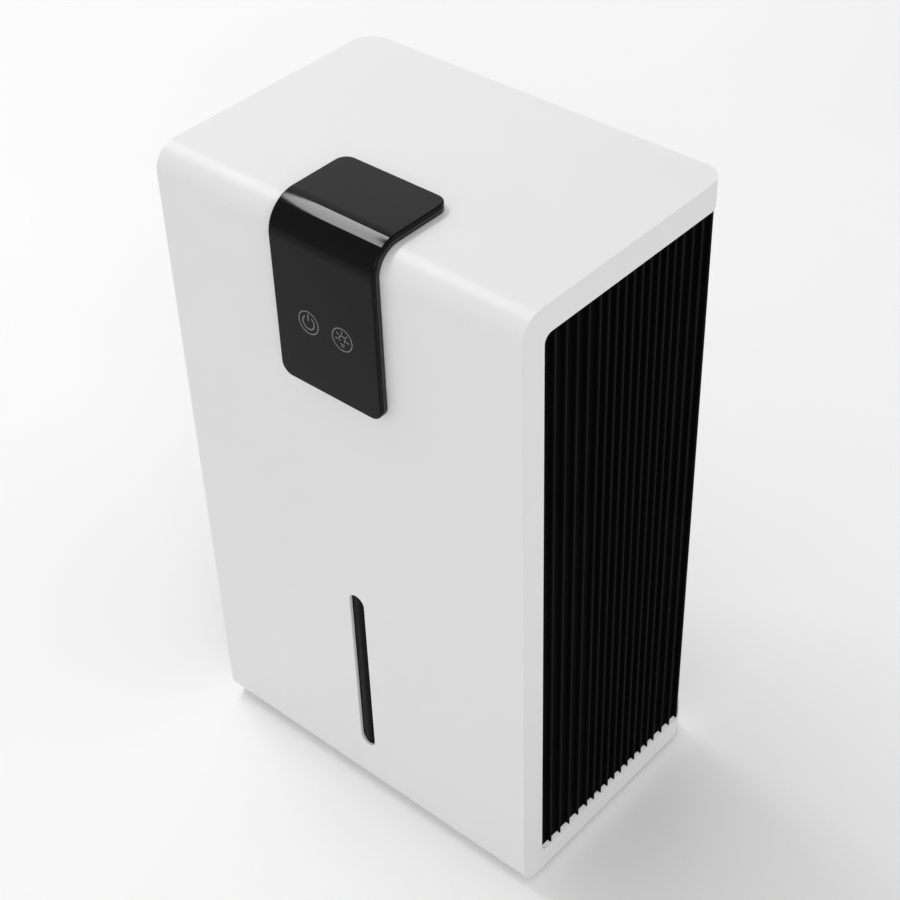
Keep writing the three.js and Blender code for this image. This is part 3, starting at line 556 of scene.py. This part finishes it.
def block(name, inset):
    """The housing's outer form, made smaller all round by the inset."""
    x = (LEFT + inset, RIGHT - inset)
    y = (FRONT + inset, BACK - inset)
    z = (BASE + inset, TOP - inset)
    side = rounded_rect(y, z, (BOTTOM_FILLET - inset, 0, 0, TOP_FILLET - inset), 16)
    rear = REAR_CORNER - inset
    plan = rounded_rect(x, y, (0, 0, rear, rear), 16)
    return boolean(prism(name, side, "x", x), "INTERSECT", prism("plan", plan, "z", z))


def below_skin(point):
    """How far a point lies below the shell's outer surface."""
    x, y, z = abs(point.x), point.y, point.z
    depths = [RIGHT - x, y - FRONT, BACK - y, z - BASE, TOP - z]
    corner_x, corner_y = RIGHT - REAR_CORNER, BACK - REAR_CORNER
    if x > corner_x and y > corner_y:
        depths.append(REAR_CORNER - hypot(x - corner_x, y - corner_y))
    return min(depths)


def sill(side, lift, inner):
    """The lower border's sloping top edge on one side, from the inner X outwards, raised by the lift."""
    low = BASE + BAND_BOTTOM
    rise = SILL_RISE * (RIGHT - inner) / WALL
    overlap = 0.001
    slope = [(inner, low - overlap / 2), (RIGHT + overlap, low - overlap / 2)]
    slope += [(RIGHT, low + lift), (inner, low + rise + lift)]
    outline = [(side * x, z) for x, z in slope]
    return prism("sill", outline, "y", (FRONT + BAND_FRONT - overlap, LIP_FRONT + overlap))


def shell():
    body = round_edges(block("shell_body", 0), SHELL_EDGE, 4)
    opening = rounded_rect((FRONT + BAND_FRONT, BACK + PAST), (BASE + BAND_BOTTOM, TOP - BAND_TOP),
                           (OPENING_LOW_CORNER, 0, 0, OPENING_TOP_CORNER), 10)
    cutter = prism("opening", opening, "x", (LEFT - PAST, RIGHT + PAST))
    for x in ((LEFT - PAST, -LIP_HALF), (LIP_HALF, RIGHT + PAST)):
        lip = box("lip", x, (LIP_FRONT, BACK + PAST), (BASE, BASE + BAND_BOTTOM + LIP_HEIGHT))
        boolean(cutter, "DIFFERENCE", lip)
    within = RIGHT - WALL * 1.5
    boolean(cutter, "DIFFERENCE", sill(1, 0, within), sill(-1, 0, within))
    slot = rounded_rect((-SLOT_HALF, SLOT_HALF), (SLOT_LOW, SLOT_HIGH), [SLOT_HALF * 0.999] * 4, 12)
    window = box("window", KEY_WINDOW_X, (FRONT - PAST, FRONT + PAST), KEY_WINDOW_Z)
    slot_cutter = prism("slot", slot, "y", (FRONT - PAST, FRONT + PAST))
    boolean(body, "DIFFERENCE", block("cavity", WALL), cutter, slot_cutter, window)

    def on_skin(point, beside):
        return below_skin(point) < SKIN and (abs(point.x) > LIP_HALF - 0.005) == beside

    round_edges(body, OPENING_EDGE, 4, lambda point: on_skin(point, True))
    round_edges(body, SLOT_EDGE, 4, lambda point: on_skin(point, False), clamp=False)
    return finish_piece(body, WHITE, "white_shell", "root", "outer_shell")


# ---- ribbed side panels ----


def panel_plan(side):
    """A straight side, the rounded rear corner and a short return on the back."""
    outer = RIGHT - WALL - FIT
    start = FRONT + BAND_FRONT - PANEL_LAP
    centre = (RIGHT - REAR_CORNER, BACK - REAR_CORNER)
    bend = outer - centre[0]
    points = [(outer - PANEL_THICK, start), (outer, start)]
    points += arc(centre, bend, 0, 90, 16)
    points += [(RETURN_END, centre[1] + bend), (RETURN_END, centre[1] + bend - PANEL_THICK)]
    points += arc(centre, bend - PANEL_THICK, 90, 0, 16)
    return [(side * x, y) for x, y in points]


def rib_plan(side, y):
    """One rib: sides that slope in from its root to a rounded tip."""
    face = RIGHT - WALL - FIT
    sunk = face - PANEL_THICK * 0.7
    tip = RIB_TOP - RIB_TIP
    points = [(sunk, y - RIB_ROOT), (face, y - RIB_ROOT)]
    points += arc((tip, y), RIB_TIP, -70, 70, 8)
    points += [(face, y + RIB_ROOT), (sunk, y + RIB_ROOT)]
    return [(side * x, y) for x, y in points]


def side_panel(name, side, node):
    plate = prism(name, panel_plan(side), "z", (BASE + PANEL_INSET, TOP - PANEL_INSET))
    ribs = []
    for first, pitch, count in RIB_BANDS:
        for i in range(count):
            outline = rib_plan(side, MIDDLE_Y + first + i * pitch)
            ribs.append(prism("rib", outline, "z", (BASE + BAND_BOTTOM + FIT, TOP - BAND_TOP - FIT)))
    boolean(plate, "UNION", merge("ribs", *ribs))
    boolean(plate, "DIFFERENCE", sill(side, FIT + 0.0001, RIGHT - WALL))
    return finish_piece(plate, RIBBED, "black_panel", "root", node, sharp=50)


# ---- key panel over the top front edge ----


def layer(name, reach, edge, material, node):
    """A layer that follows the housing over its top front edge. Reach: its two heights above it."""
    low, high = reach
    box_low, box_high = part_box(node)
    half, back_y, low_z = box_high[0], box_high[1], box_low[2]
    centre = (FRONT + TOP_FILLET, TOP - TOP_FILLET)
    side = [(back_y, TOP + low), (back_y, TOP + high)]
    side += arc(centre, TOP_FILLET + high, 90, 180, 24)
    side += [(FRONT - high, low_z), (FRONT - low, low_z)]
    side += arc(centre, TOP_FILLET + low, 180, 90, 24)
    sheet = prism(name, side, "x", (-half, half))
    plan = rounded_rect((-half, half), (FRONT - PAST, back_y), (0, 0, KEY_CORNER, KEY_CORNER), 12)
    face = rounded_rect((-half, half), (low_z, TOP + PAST), (KEY_CORNER, KEY_CORNER, 0, 0), 12)
    from_above = prism("plan", plan, "z", (BASE, TOP + PAST))
    from_the_front = prism("face", face, "y", (FRONT - PAST, BACK))
    boolean(sheet, "INTERSECT", from_above, from_the_front)
    middle = (low + high) / 2

    def above(point):
        rise = max(FRONT - point.y, point.z - TOP)
        if point.y < centre[0] and point.z > centre[1]:
            rise = hypot(point.y - centre[0], point.z - centre[1]) - TOP_FILLET
        return rise

    round_edges(sheet, edge, 4, lambda point: above(point) > middle)
    round_edges(sheet, 0.0003, 2, lambda point: above(point) < middle, angle=60)
    return finish_piece(sheet, material, "gloss_black", "root", node, sharp=35)


PRINT_PROUD = 0.00005
PRINT_THICK = 0.0002
LINE = 0.0005
HEAVY_LINE = 0.0006
FINE_LINE = 0.00045
RING_RADIUS = 0.00575
POWER_RADIUS = 0.0034
POWER_STROKE = (0.0012, 0.0044)
BULB_RADIUS = 0.0017
RAY = (0.0027, 0.0040)
BULB_CAP = ((0.0024, 0.0010), (0.0035, 0.0007))  # how far below the centre, half length


def flat_icon(name, shapes):
    """Thin printed marks on the key panel's face, each an outline in X and Z."""
    face = FRONT - COVER_LAYER[1] - PRINT_PROUD
    marks = [prism("mark", shape, "y", (face, face + PRINT_THICK)) for shape in shapes]
    return finish_piece(merge(name, *marks), PRINT, "gloss_black", "root")


def band(centre, radius, width, start, end, steps=32):
    """A curved stroke of even width."""
    outer = arc(centre, radius + width / 2, start, end, steps)
    return outer + arc(centre, radius - width / 2, end, start, steps)


def stroke(one, two, width):
    """A straight stroke between two points, with round ends."""
    along = degrees(Vector((two[0] - one[0], two[1] - one[1])).angle_signed(Vector((1, 0))))
    far_end = arc(two, width / 2, along - 90, along + 90, 6)
    return far_end + arc(one, width / 2, along + 90, along + 270, 6)


def key_ring(centre):
    return [band(centre, RING_RADIUS, LINE, start, start + 180) for start in (0, 180)]


def power_icon():
    centre = (-KEY_X, KEY_Z)
    shapes = key_ring(centre)
    shapes.append(band(centre, POWER_RADIUS, HEAVY_LINE, 125, 415))
    low, high = [(centre[0], KEY_Z + rise) for rise in POWER_STROKE]
    shapes.append(stroke(low, high, HEAVY_LINE))
    return flat_icon("power_key_print", shapes)


def light_icon():
    centre = (KEY_X, KEY_Z)
    bulb = (KEY_X, KEY_Z + 0.0003)
    shapes = key_ring(centre)
    shapes.append(band(bulb, BULB_RADIUS, LINE, -50, 230))
    for angle in (-10, 40, 90, 140, 190):
        ray = Vector((cos(radians(angle)), sin(radians(angle))))
        near, far = [Vector(bulb) + ray * reach for reach in RAY]
        shapes.append(stroke(near, far, LINE))
    for drop, half in BULB_CAP:
        z = KEY_Z - drop
        shapes.append(stroke((KEY_X - half, z), (KEY_X + half, z), FINE_LINE))
    return flat_icon("light_key_print", shapes)


# ---- water level window ----

LENS_THICK = 0.0016
LENS_CROWN = 0.001
LENS_CORNER = 0.004
LENS_EDGE = 0.0005


def level_lens():
    """A plate behind the slot, with a rounded crown that stands into it."""
    low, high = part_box("window_lens")
    half = high[0]
    face = high[1] - LENS_THICK
    outline = rounded_rect((-half, half), (low[2], high[2]), [LENS_CORNER] * 4, 6)
    lens = round_edges(prism("level_lens", outline, "y", (face, high[1])), LENS_EDGE, 3)
    reach = SLOT_HALF - FIT
    radius = (reach ** 2 + LENS_CROWN ** 2) / (2 * LENS_CROWN)
    turn = degrees(asin(reach / radius))
    bow = arc((0, face - LENS_CROWN + radius), radius, -90 - turn, -90 + turn, 24)
    bow += [(reach, face + LENS_THICK / 2), (-reach, face + LENS_THICK / 2)]
    span_z = (SLOT_LOW + FIT, SLOT_HIGH - FIT)
    crown = prism("crown", bow, "z", span_z)
    ends = rounded_rect((-reach, reach), span_z, [reach * 0.999] * 4, 12)
    boolean(crown, "INTERSECT", prism("ends", ends, "y", (FRONT, BACK)))
    boolean(lens, "UNION", crown)
    return finish_piece(lens, LENS, "smoked_plastic", "root", "window_lens", sharp=40)


# ---- rear cover, tank fascia and power jack ----

GRILLE_HUB = 0.011
GRILLE_GAP = 0.0039
GRILLE_BAR = 0.0021
GRILLE_RINGS = 5
GRILLE_SOFT = 0.0006
SPOKE_HALF = 0.0015
COVER_INSET = 0.00205
COVER_CORNERS = (0.002, 0.002, 0.004, 0.004)
COVER_EDGE = 0.0005
JACK_HOLE = 0.0057
JACK_RECESS = 0.008
JACK_RECESS_DEPTH = 0.0009
WELL_BORE = 0.0044
WELL_OUTSIDE = 0.006
WELL_HOLE = 0.0018
WELL_DEPTH = 0.0062
INTAKE_HALF = 0.0015
INTAKE_CORNER = 0.0014
INTAKE_FIRST = 0.058
INTAKE_PITCH = 0.006
INTAKE_COLUMNS = 5
INTAKE_SPANS = ((0.192, 0.241), (0.249, 0.298))


def screw_places():
    places = []
    for i in range(4):
        low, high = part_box(f"cover_screw_{i + 1}")
        places.append(((low[0] + high[0]) / 2, (low[2] + high[2]) / 2))
    return places


def intake_slots(y):
    slots = []
    for column in range(INTAKE_COLUMNS):
        for side in (-1, 1):
            x = side * (INTAKE_FIRST + column * INTAKE_PITCH)
            for bottom, head in INTAKE_SPANS:
                outline = rounded_rect((x - INTAKE_HALF, x + INTAKE_HALF), (BASE + bottom, BASE + head),
                                       [INTAKE_CORNER] * 4, 5)
                slots.append(prism("slot", outline, "y", y))
    return merge("slots", *slots)


def grille(inner, outer, hole):
    """The outlet's rings, hub and spokes."""
    centre = (0, 0, STACK_Z)
    parts = []
    for i in range(GRILLE_RINGS):
        inside = GRILLE_HUB + GRILLE_GAP + i * (GRILLE_GAP + GRILLE_BAR)
        profile = soft_bar(inside, inside + GRILLE_BAR, inner, outer, GRILLE_SOFT)
        parts.append(lathe("ring", profile, centre, "y", 96))
    parts.append(lathe("hub", disc(GRILLE_HUB, inner, outer, GRILLE_SOFT), centre, "y", 64))
    reach = hole + 0.0006
    for turn in (0, 60, 120):
        spoke = box("spoke", (-reach, reach), (inner + 0.0002, outer - 0.0001), (-SPOKE_HALF, SPOKE_HALF))
        parts.append(turned(round_edges(spoke, COVER_EDGE, 3), turn, centre))
    return parts


def screw_well(x, z, outer):
    """The sunk seat of one cover screw."""
    floor = BACK - WELL_DEPTH
    rim = outer - 0.0006
    wall = [(WELL_HOLE, floor - 0.002), (WELL_OUTSIDE, floor - 0.002), (WELL_OUTSIDE, rim)]
    wall += [(WELL_BORE, rim), (WELL_BORE, floor), (WELL_HOLE, floor)]
    return lathe("well", wall, (x, 0, z), "y", 32)


def rear_cover():
    low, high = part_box("rear_cover")
    inner = BACK - COVER_INSET
    outer = high[1]
    outline = rounded_rect((low[0], high[0]), (low[2], high[2]), COVER_CORNERS, 6)
    cover = prism("outlet_cover", outline, "y", (inner, outer))
    hole = GRILLE_HUB + (GRILLE_RINGS + 1) * GRILLE_GAP + GRILLE_RINGS * GRILLE_BAR
    jack_x, jack_z = jack_place()
    cuts = [bore(hole, (0, inner - PAST, STACK_Z), 96)]
    cuts.append(bore(JACK_HOLE, (jack_x, inner - PAST, jack_z)))
    cuts.append(bore(JACK_RECESS, (jack_x, outer - JACK_RECESS_DEPTH, jack_z)))
    cuts += [bore(WELL_BORE, (x, inner - PAST, z)) for x, z in screw_places()]
    boolean(cover, "DIFFERENCE", intake_slots((inner - PAST, outer + PAST)), *cuts)
    round_edges(cover, COVER_EDGE, 3, lambda point: point.y > outer - 0.0001, angle=60)
    wells = [screw_well(x, z, outer) for x, z in screw_places()]
    parts = [cover, *grille(inner, outer, hole), *wells]
    return finish_piece(merge("outlet_cover", *parts), BLACK, "black_panel", "root", "rear_cover")


def jack_place():
    low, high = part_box("dc_jack")
    return (low[0] + high[0]) / 2, (low[2] + high[2]) / 2


def power_jack():
    low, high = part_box("dc_jack")
    x, z = jack_place()
    outer = high[1]
    bore_end = BACK - 0.012
    neck, flange, mouth, pin = 0.0054, 0.0076, 0.0031, 0.00105
    rim = 0.0004
    profile = [(0, bore_end - 0.006), (neck, bore_end - 0.006)]
    profile += [(neck, outer - 2 * rim - 0.0001), (flange, outer - 2 * rim)]
    profile += arc((flange - rim, outer - rim), rim, 0, 90, 4)
    profile += [(mouth + rim, outer), (mouth, outer - rim), (mouth, bore_end), (pin, bore_end)]
    profile += [(pin, outer - 0.0018), (0.0007, outer - 0.0014), (0, outer - 0.0014)]
    jack = lathe("power_jack", profile, (x, 0, z), "y", 48)
    tail = box("tail", (x - 0.004, x + 0.004), (low[1], bore_end - 0.005), (z - 0.003, z + 0.003))
    whole = merge("power_jack", jack, tail)
    return finish_piece(whole, COMPONENT, "black_component", "root", "dc_jack", sharp=40)


def cover_screw(number, x, z):
    low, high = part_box(f"cover_screw_{number}")
    head = high[1]
    under = head - 0.0025
    tip, thread, head_radius = 0.0009, 0.0014, 0.0034
    profile = [(0, low[1]), (tip, low[1]), (thread, low[1] + 0.0015), (thread, under), (head_radius, under)]
    profile += arc((0.003, under + 0.0008), 0.0006, 0, 40, 3)
    profile += [(0.0022, head - 0.0003), (0, head)]
    screw = lathe("screw", profile, (x, 0, z), "y", 32)
    for turn in (0, 90):
        cross = [(-0.0022, head + 0.001), (0.0022, head + 0.001)]
        cross += [(0.0006, head - 0.0018), (-0.0006, head - 0.0018)]
        wing = turned(prism("wing", cross, "z", (-0.0004, 0.0004)), turn, (x, 0, z))
        boolean(screw, "DIFFERENCE", wing)
    screw.name = f"pan_screw_{number}"
    return finish_piece(screw, STEEL, "steel", "root", f"cover_screw_{number}")


GRIP_X = (-0.035, 0.035)
GRIP_Z = (BASE + 0.104, BASE + 0.127)
TANK_CORNER = 0.008
POCKET_X = 0.036
POCKET_Z = (BASE + 0.103, BASE + 0.128)
POCKET_DEPTH = 0.016


def fascia():
    low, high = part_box("tank_fascia")
    outline = rounded_rect((low[0], high[0]), (low[2], high[2]), [0.002] * 4, 6)
    plate = prism("tank_face", outline, "y", (low[1], high[1]))
    grip = rounded_rect(GRIP_X, GRIP_Z, [0.005] * 4, 8)
    boolean(plate, "DIFFERENCE", prism("grip", grip, "y", (low[1] - 0.01, high[1] + 0.01)))
    round_edges(plate, 0.0007, 3, lambda point: point.y > high[1] - 0.0001, angle=60)
    return finish_piece(plate, BLACK, "black_panel", "tank", "tank_fascia")


def water_tank():
    low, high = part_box("water_tank")

    def form(name, inset, z):
        outline = rounded_rect((low[0] + inset, high[0] - inset), (low[1] + inset, high[1] - inset),
                               [TANK_CORNER - inset] * 4, 8)
        made = prism(name, outline, "z", z)
        return round_edges(made, 0.002, 4, lambda point: point.z < z[0] + 0.0001, angle=60)

    tank = form("clear_tank", 0, (low[2], high[2]))
    boolean(tank, "DIFFERENCE", form("inside", WALL, (low[2] + WALL, high[2] + 0.01)))
    pocket_y = high[1] - POCKET_DEPTH
    around = box("pocket", (-POCKET_X - WALL, POCKET_X + WALL), (pocket_y - WALL, high[1] - 0.001),
                 (POCKET_Z[0] - WALL, POCKET_Z[1] + WALL))
    boolean(tank, "UNION", around)
    hollow = box("pocket", (-POCKET_X, POCKET_X), (pocket_y, high[1] + 0.01), POCKET_Z)
    boolean(tank, "DIFFERENCE", hollow)
    round_edges(tank, 0.0003, 2, lambda point: point.z > high[2] - 0.0001, angle=60)
    return finish_piece(tank, TANK, "smoked_plastic", "tank", "water_tank")


# ---- feet and fan ----


BLADES = 7
BLADE_ROOT, BLADE_TIP = 0.0172, 0.0420
HUB_RADIUS = 0.018
HUB_INSIDE = 0.0163
SHAFT_HOLE = 0.0018
FAN_BORE = 0.044
FAN_HOLE = 0.0021
FAN_HOLE_PITCH = 0.04125
STRUT_HALF = 0.002
STRUT_DEEP = 0.003


def rubber_foot(node):
    low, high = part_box(node)
    centre = ((low[0] + high[0]) / 2, (low[1] + high[1]) / 2, 0)
    radius = (high[0] - low[0]) / 2
    top, bottom = high[2], low[2]
    hollow = bottom + 0.0004
    soft = 0.0006
    profile = [(0, hollow), (radius - 0.003, hollow), (radius - 0.0027, bottom)]
    profile += arc((radius - soft, bottom + soft), soft, 270, 360, 4)
    profile += [(radius, top), (0, top)]
    foot = lathe(f"pad_{node}", profile, centre, "z", 48)
    return finish_piece(foot, RUBBER, "foot_rubber", "root", node)


def blade_grid(root, tip, steps=12):
    """Rows of points over a blade's two faces, its camber and twist easing from root to tip."""
    rows = []
    for i in range(steps + 1):
        share = i / steps
        radius = root + (tip - root) * share
        chord = 0.0195 + 0.003 * share
        pitch = 0.8 - 0.32 * share
        row = []
        for side in (1, -1):
            for k in range(9):
                s = k / 8 if side == 1 else 1 - k / 8
                across = (s - 0.5) * chord
                thick = 0.0009 * (4 * s * (1 - s)) ** 0.5 + 0.00015
                camber = 0.0022 * (4 * s * (1 - s)) - 0.0015
                height = camber + side * thick
                y = height * cos(pitch) - across * sin(pitch)
                z = height * sin(pitch) + across * cos(pitch)
                sweep = z / radius
                row.append((radius * cos(sweep), y, radius * sin(sweep)))
        rows.append(row)
    return rows


def blade(name, root, tip):
    bm = bmesh.new()
    rows = [[bm.verts.new(point) for point in row] for row in blade_grid(root, tip)]
    for one, two in zip(rows, rows[1:]):
        for i in range(len(one)):
            j = (i + 1) % len(one)
            bm.faces.new((one[i], one[j], two[j], two[i]))
    bm.faces.new(rows[0])
    bm.faces.new(rows[-1])
    return from_bmesh(name, bm)


def rotor():
    low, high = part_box("fan_rotor")
    middle = MIDDLE_Y + 0.0513
    front, rear = low[1], high[1]
    soft = 0.0015
    hub = [(SHAFT_HOLE, front), (HUB_RADIUS - soft, front)]
    hub += arc((HUB_RADIUS - soft, front + soft), soft, 270, 360, 6)
    hub += [(HUB_RADIUS, rear), (HUB_INSIDE, rear), (HUB_INSIDE, front + 0.002), (SHAFT_HOLE, front + 0.002)]
    parts = [lathe("hub", hub, (0, 0, STACK_Z), "y", 64)]
    for i in range(BLADES):
        parts.append(turned(blade("blade", BLADE_ROOT, BLADE_TIP), 360 * i / BLADES, (0, middle, STACK_Z)))
    return finish_piece(merge("seven_blade_rotor", *parts), FAN, "fan_plastic", "fan", "fan_rotor", sharp=40)


def fan_housing():
    low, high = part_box("fan_frame")
    centre = (0, 0, STACK_Z)
    start = low[1] - PAST
    outline = rounded_rect((low[0], high[0]), (low[2], high[2]), [0.005] * 4, 6)
    frame_body = prism("fan_housing", outline, "y", (low[1], high[1]))
    cuts = [bore(FAN_BORE, (0, start, STACK_Z), 96)]
    for x in (-FAN_HOLE_PITCH, FAN_HOLE_PITCH):
        for z in (STACK_Z - FAN_HOLE_PITCH, STACK_Z + FAN_HOLE_PITCH):
            cuts.append(bore(FAN_HOLE, (x, start, z), 24))
    boolean(frame_body, "DIFFERENCE", *cuts)
    round_edges(frame_body, 0.0005, 2, angle=60)
    parts = [frame_body]
    rear = high[1]
    reach = FAN_BORE + 0.0006
    soft = 0.0006
    for turn in (45, 135):
        strut = box("strut", (-reach, reach), (rear - STRUT_DEEP, rear), (-STRUT_HALF, STRUT_HALF))
        parts.append(turned(round_edges(strut, soft, 2), turn, centre))
    hub = [(0, rear - STRUT_DEEP), (HUB_RADIUS, rear - STRUT_DEEP)]
    hub += arc((HUB_RADIUS - soft, rear - soft), soft, 0, 90, 3) + [(0, rear)]
    parts.append(lathe("hub", hub, centre, "y", 48))
    tube = soft_bar(0.0037, 0.0049, MIDDLE_Y + 0.047, rear - 0.0025, 0.0002, 2)
    parts.append(lathe("tube", tube, centre, "y", 32))
    return finish_piece(merge("fan_housing", *parts), FAN, "fan_plastic", "root", "fan_frame")


# ---- floor, light and camera ----


def area_light(name, place, aim, size, watts, long_way):
    """A rectangular softbox, its first size along long_way and its face turned to the aim."""
    data = bpy.data.lights.new(name, "AREA")
    data.shape = "RECTANGLE"
    data.size, data.size_y = size
    data.energy = watts
    back = (Vector(place) - Vector(aim)).normalized()
    along = Vector(long_way)
    along = (along - back * along.dot(back)).normalized()
    across = back.cross(along)
    light = piece(name, data)
    light.matrix_world = Matrix.Translation(place) @ Matrix((along, across, back)).transposed().to_4x4()
    return light


def studio():
    reach = (-4, 4)
    floor = box("floor", reach, reach, (-0.01, 0))
    floor.data.materials.append(pale_floor("pale_floor"))
    world = bpy.data.worlds.new("soft_room")
    world.use_nodes = True
    room = world.node_tree.nodes["Background"]
    room.inputs["Color"].default_value = (1, 1, 1, 1)
    room.inputs["Strength"].default_value = 0.65
    bpy.context.scene.world = world
    key_bend = (0, FRONT + 0.004, TOP - 0.005)
    area_light("strip_softbox", (-1.157, -0.066, 1.856), key_bend, (1.05, 0.16), 12.8, (0, 1, 0))
    area_light("back_softbox", (-1.4, 1.4, 1.6), (0, 0, 0.3), (1.5, 1.5), 5.3, (1, 1, 0))
    area_light("fill_softbox", (1.75, -1.6, 1.1), (0, 0, 0.2), (1.2, 1.2), 13, (1, 1, 0))
    bpy.context.scene.view_settings.view_transform = "Standard"


def camera():
    data = bpy.data.cameras.new("camera")
    data.sensor_width = 36
    data.lens = CAMERA_LENS
    made = piece("camera", data)
    azimuth, elevation = radians(CAMERA_AZIMUTH), radians(CAMERA_ELEVATION)
    back = Vector((sin(azimuth) * cos(elevation), -cos(azimuth) * cos(elevation), sin(elevation)))
    made.location = AIM + back * CAMERA_DISTANCE
    made.rotation_mode = "QUATERNION"
    made.rotation_quaternion = back.to_track_quat("Z", "Y") @ Quaternion((0, 0, 1), radians(CAMERA_ROLL))
    bpy.context.scene.camera = made


camera()
studio()
dress_cad_nodes()
shell()
side_panel("ribbed_panel_right", 1, "side_panel_right")
side_panel("ribbed_panel_left", -1, "side_panel_left")
layer("key_panel_base", BASE_LAYER, 0.0004, KEY_BASE, "touch_panel_base")
layer("key_panel_cover", COVER_LAYER, 0.0009, GLOSS, "touch_panel_cover")
power_icon()
light_icon()
level_lens()
rear_cover()
power_jack()
for index, (screw_x, screw_z) in enumerate(screw_places()):
    cover_screw(index + 1, screw_x, screw_z)
fascia()
water_tank()
for foot_node in ("foot_front_left", "foot_front_right", "foot_rear_left", "foot_rear_right"):
    rubber_foot(foot_node)
rotor()
fan_housing()
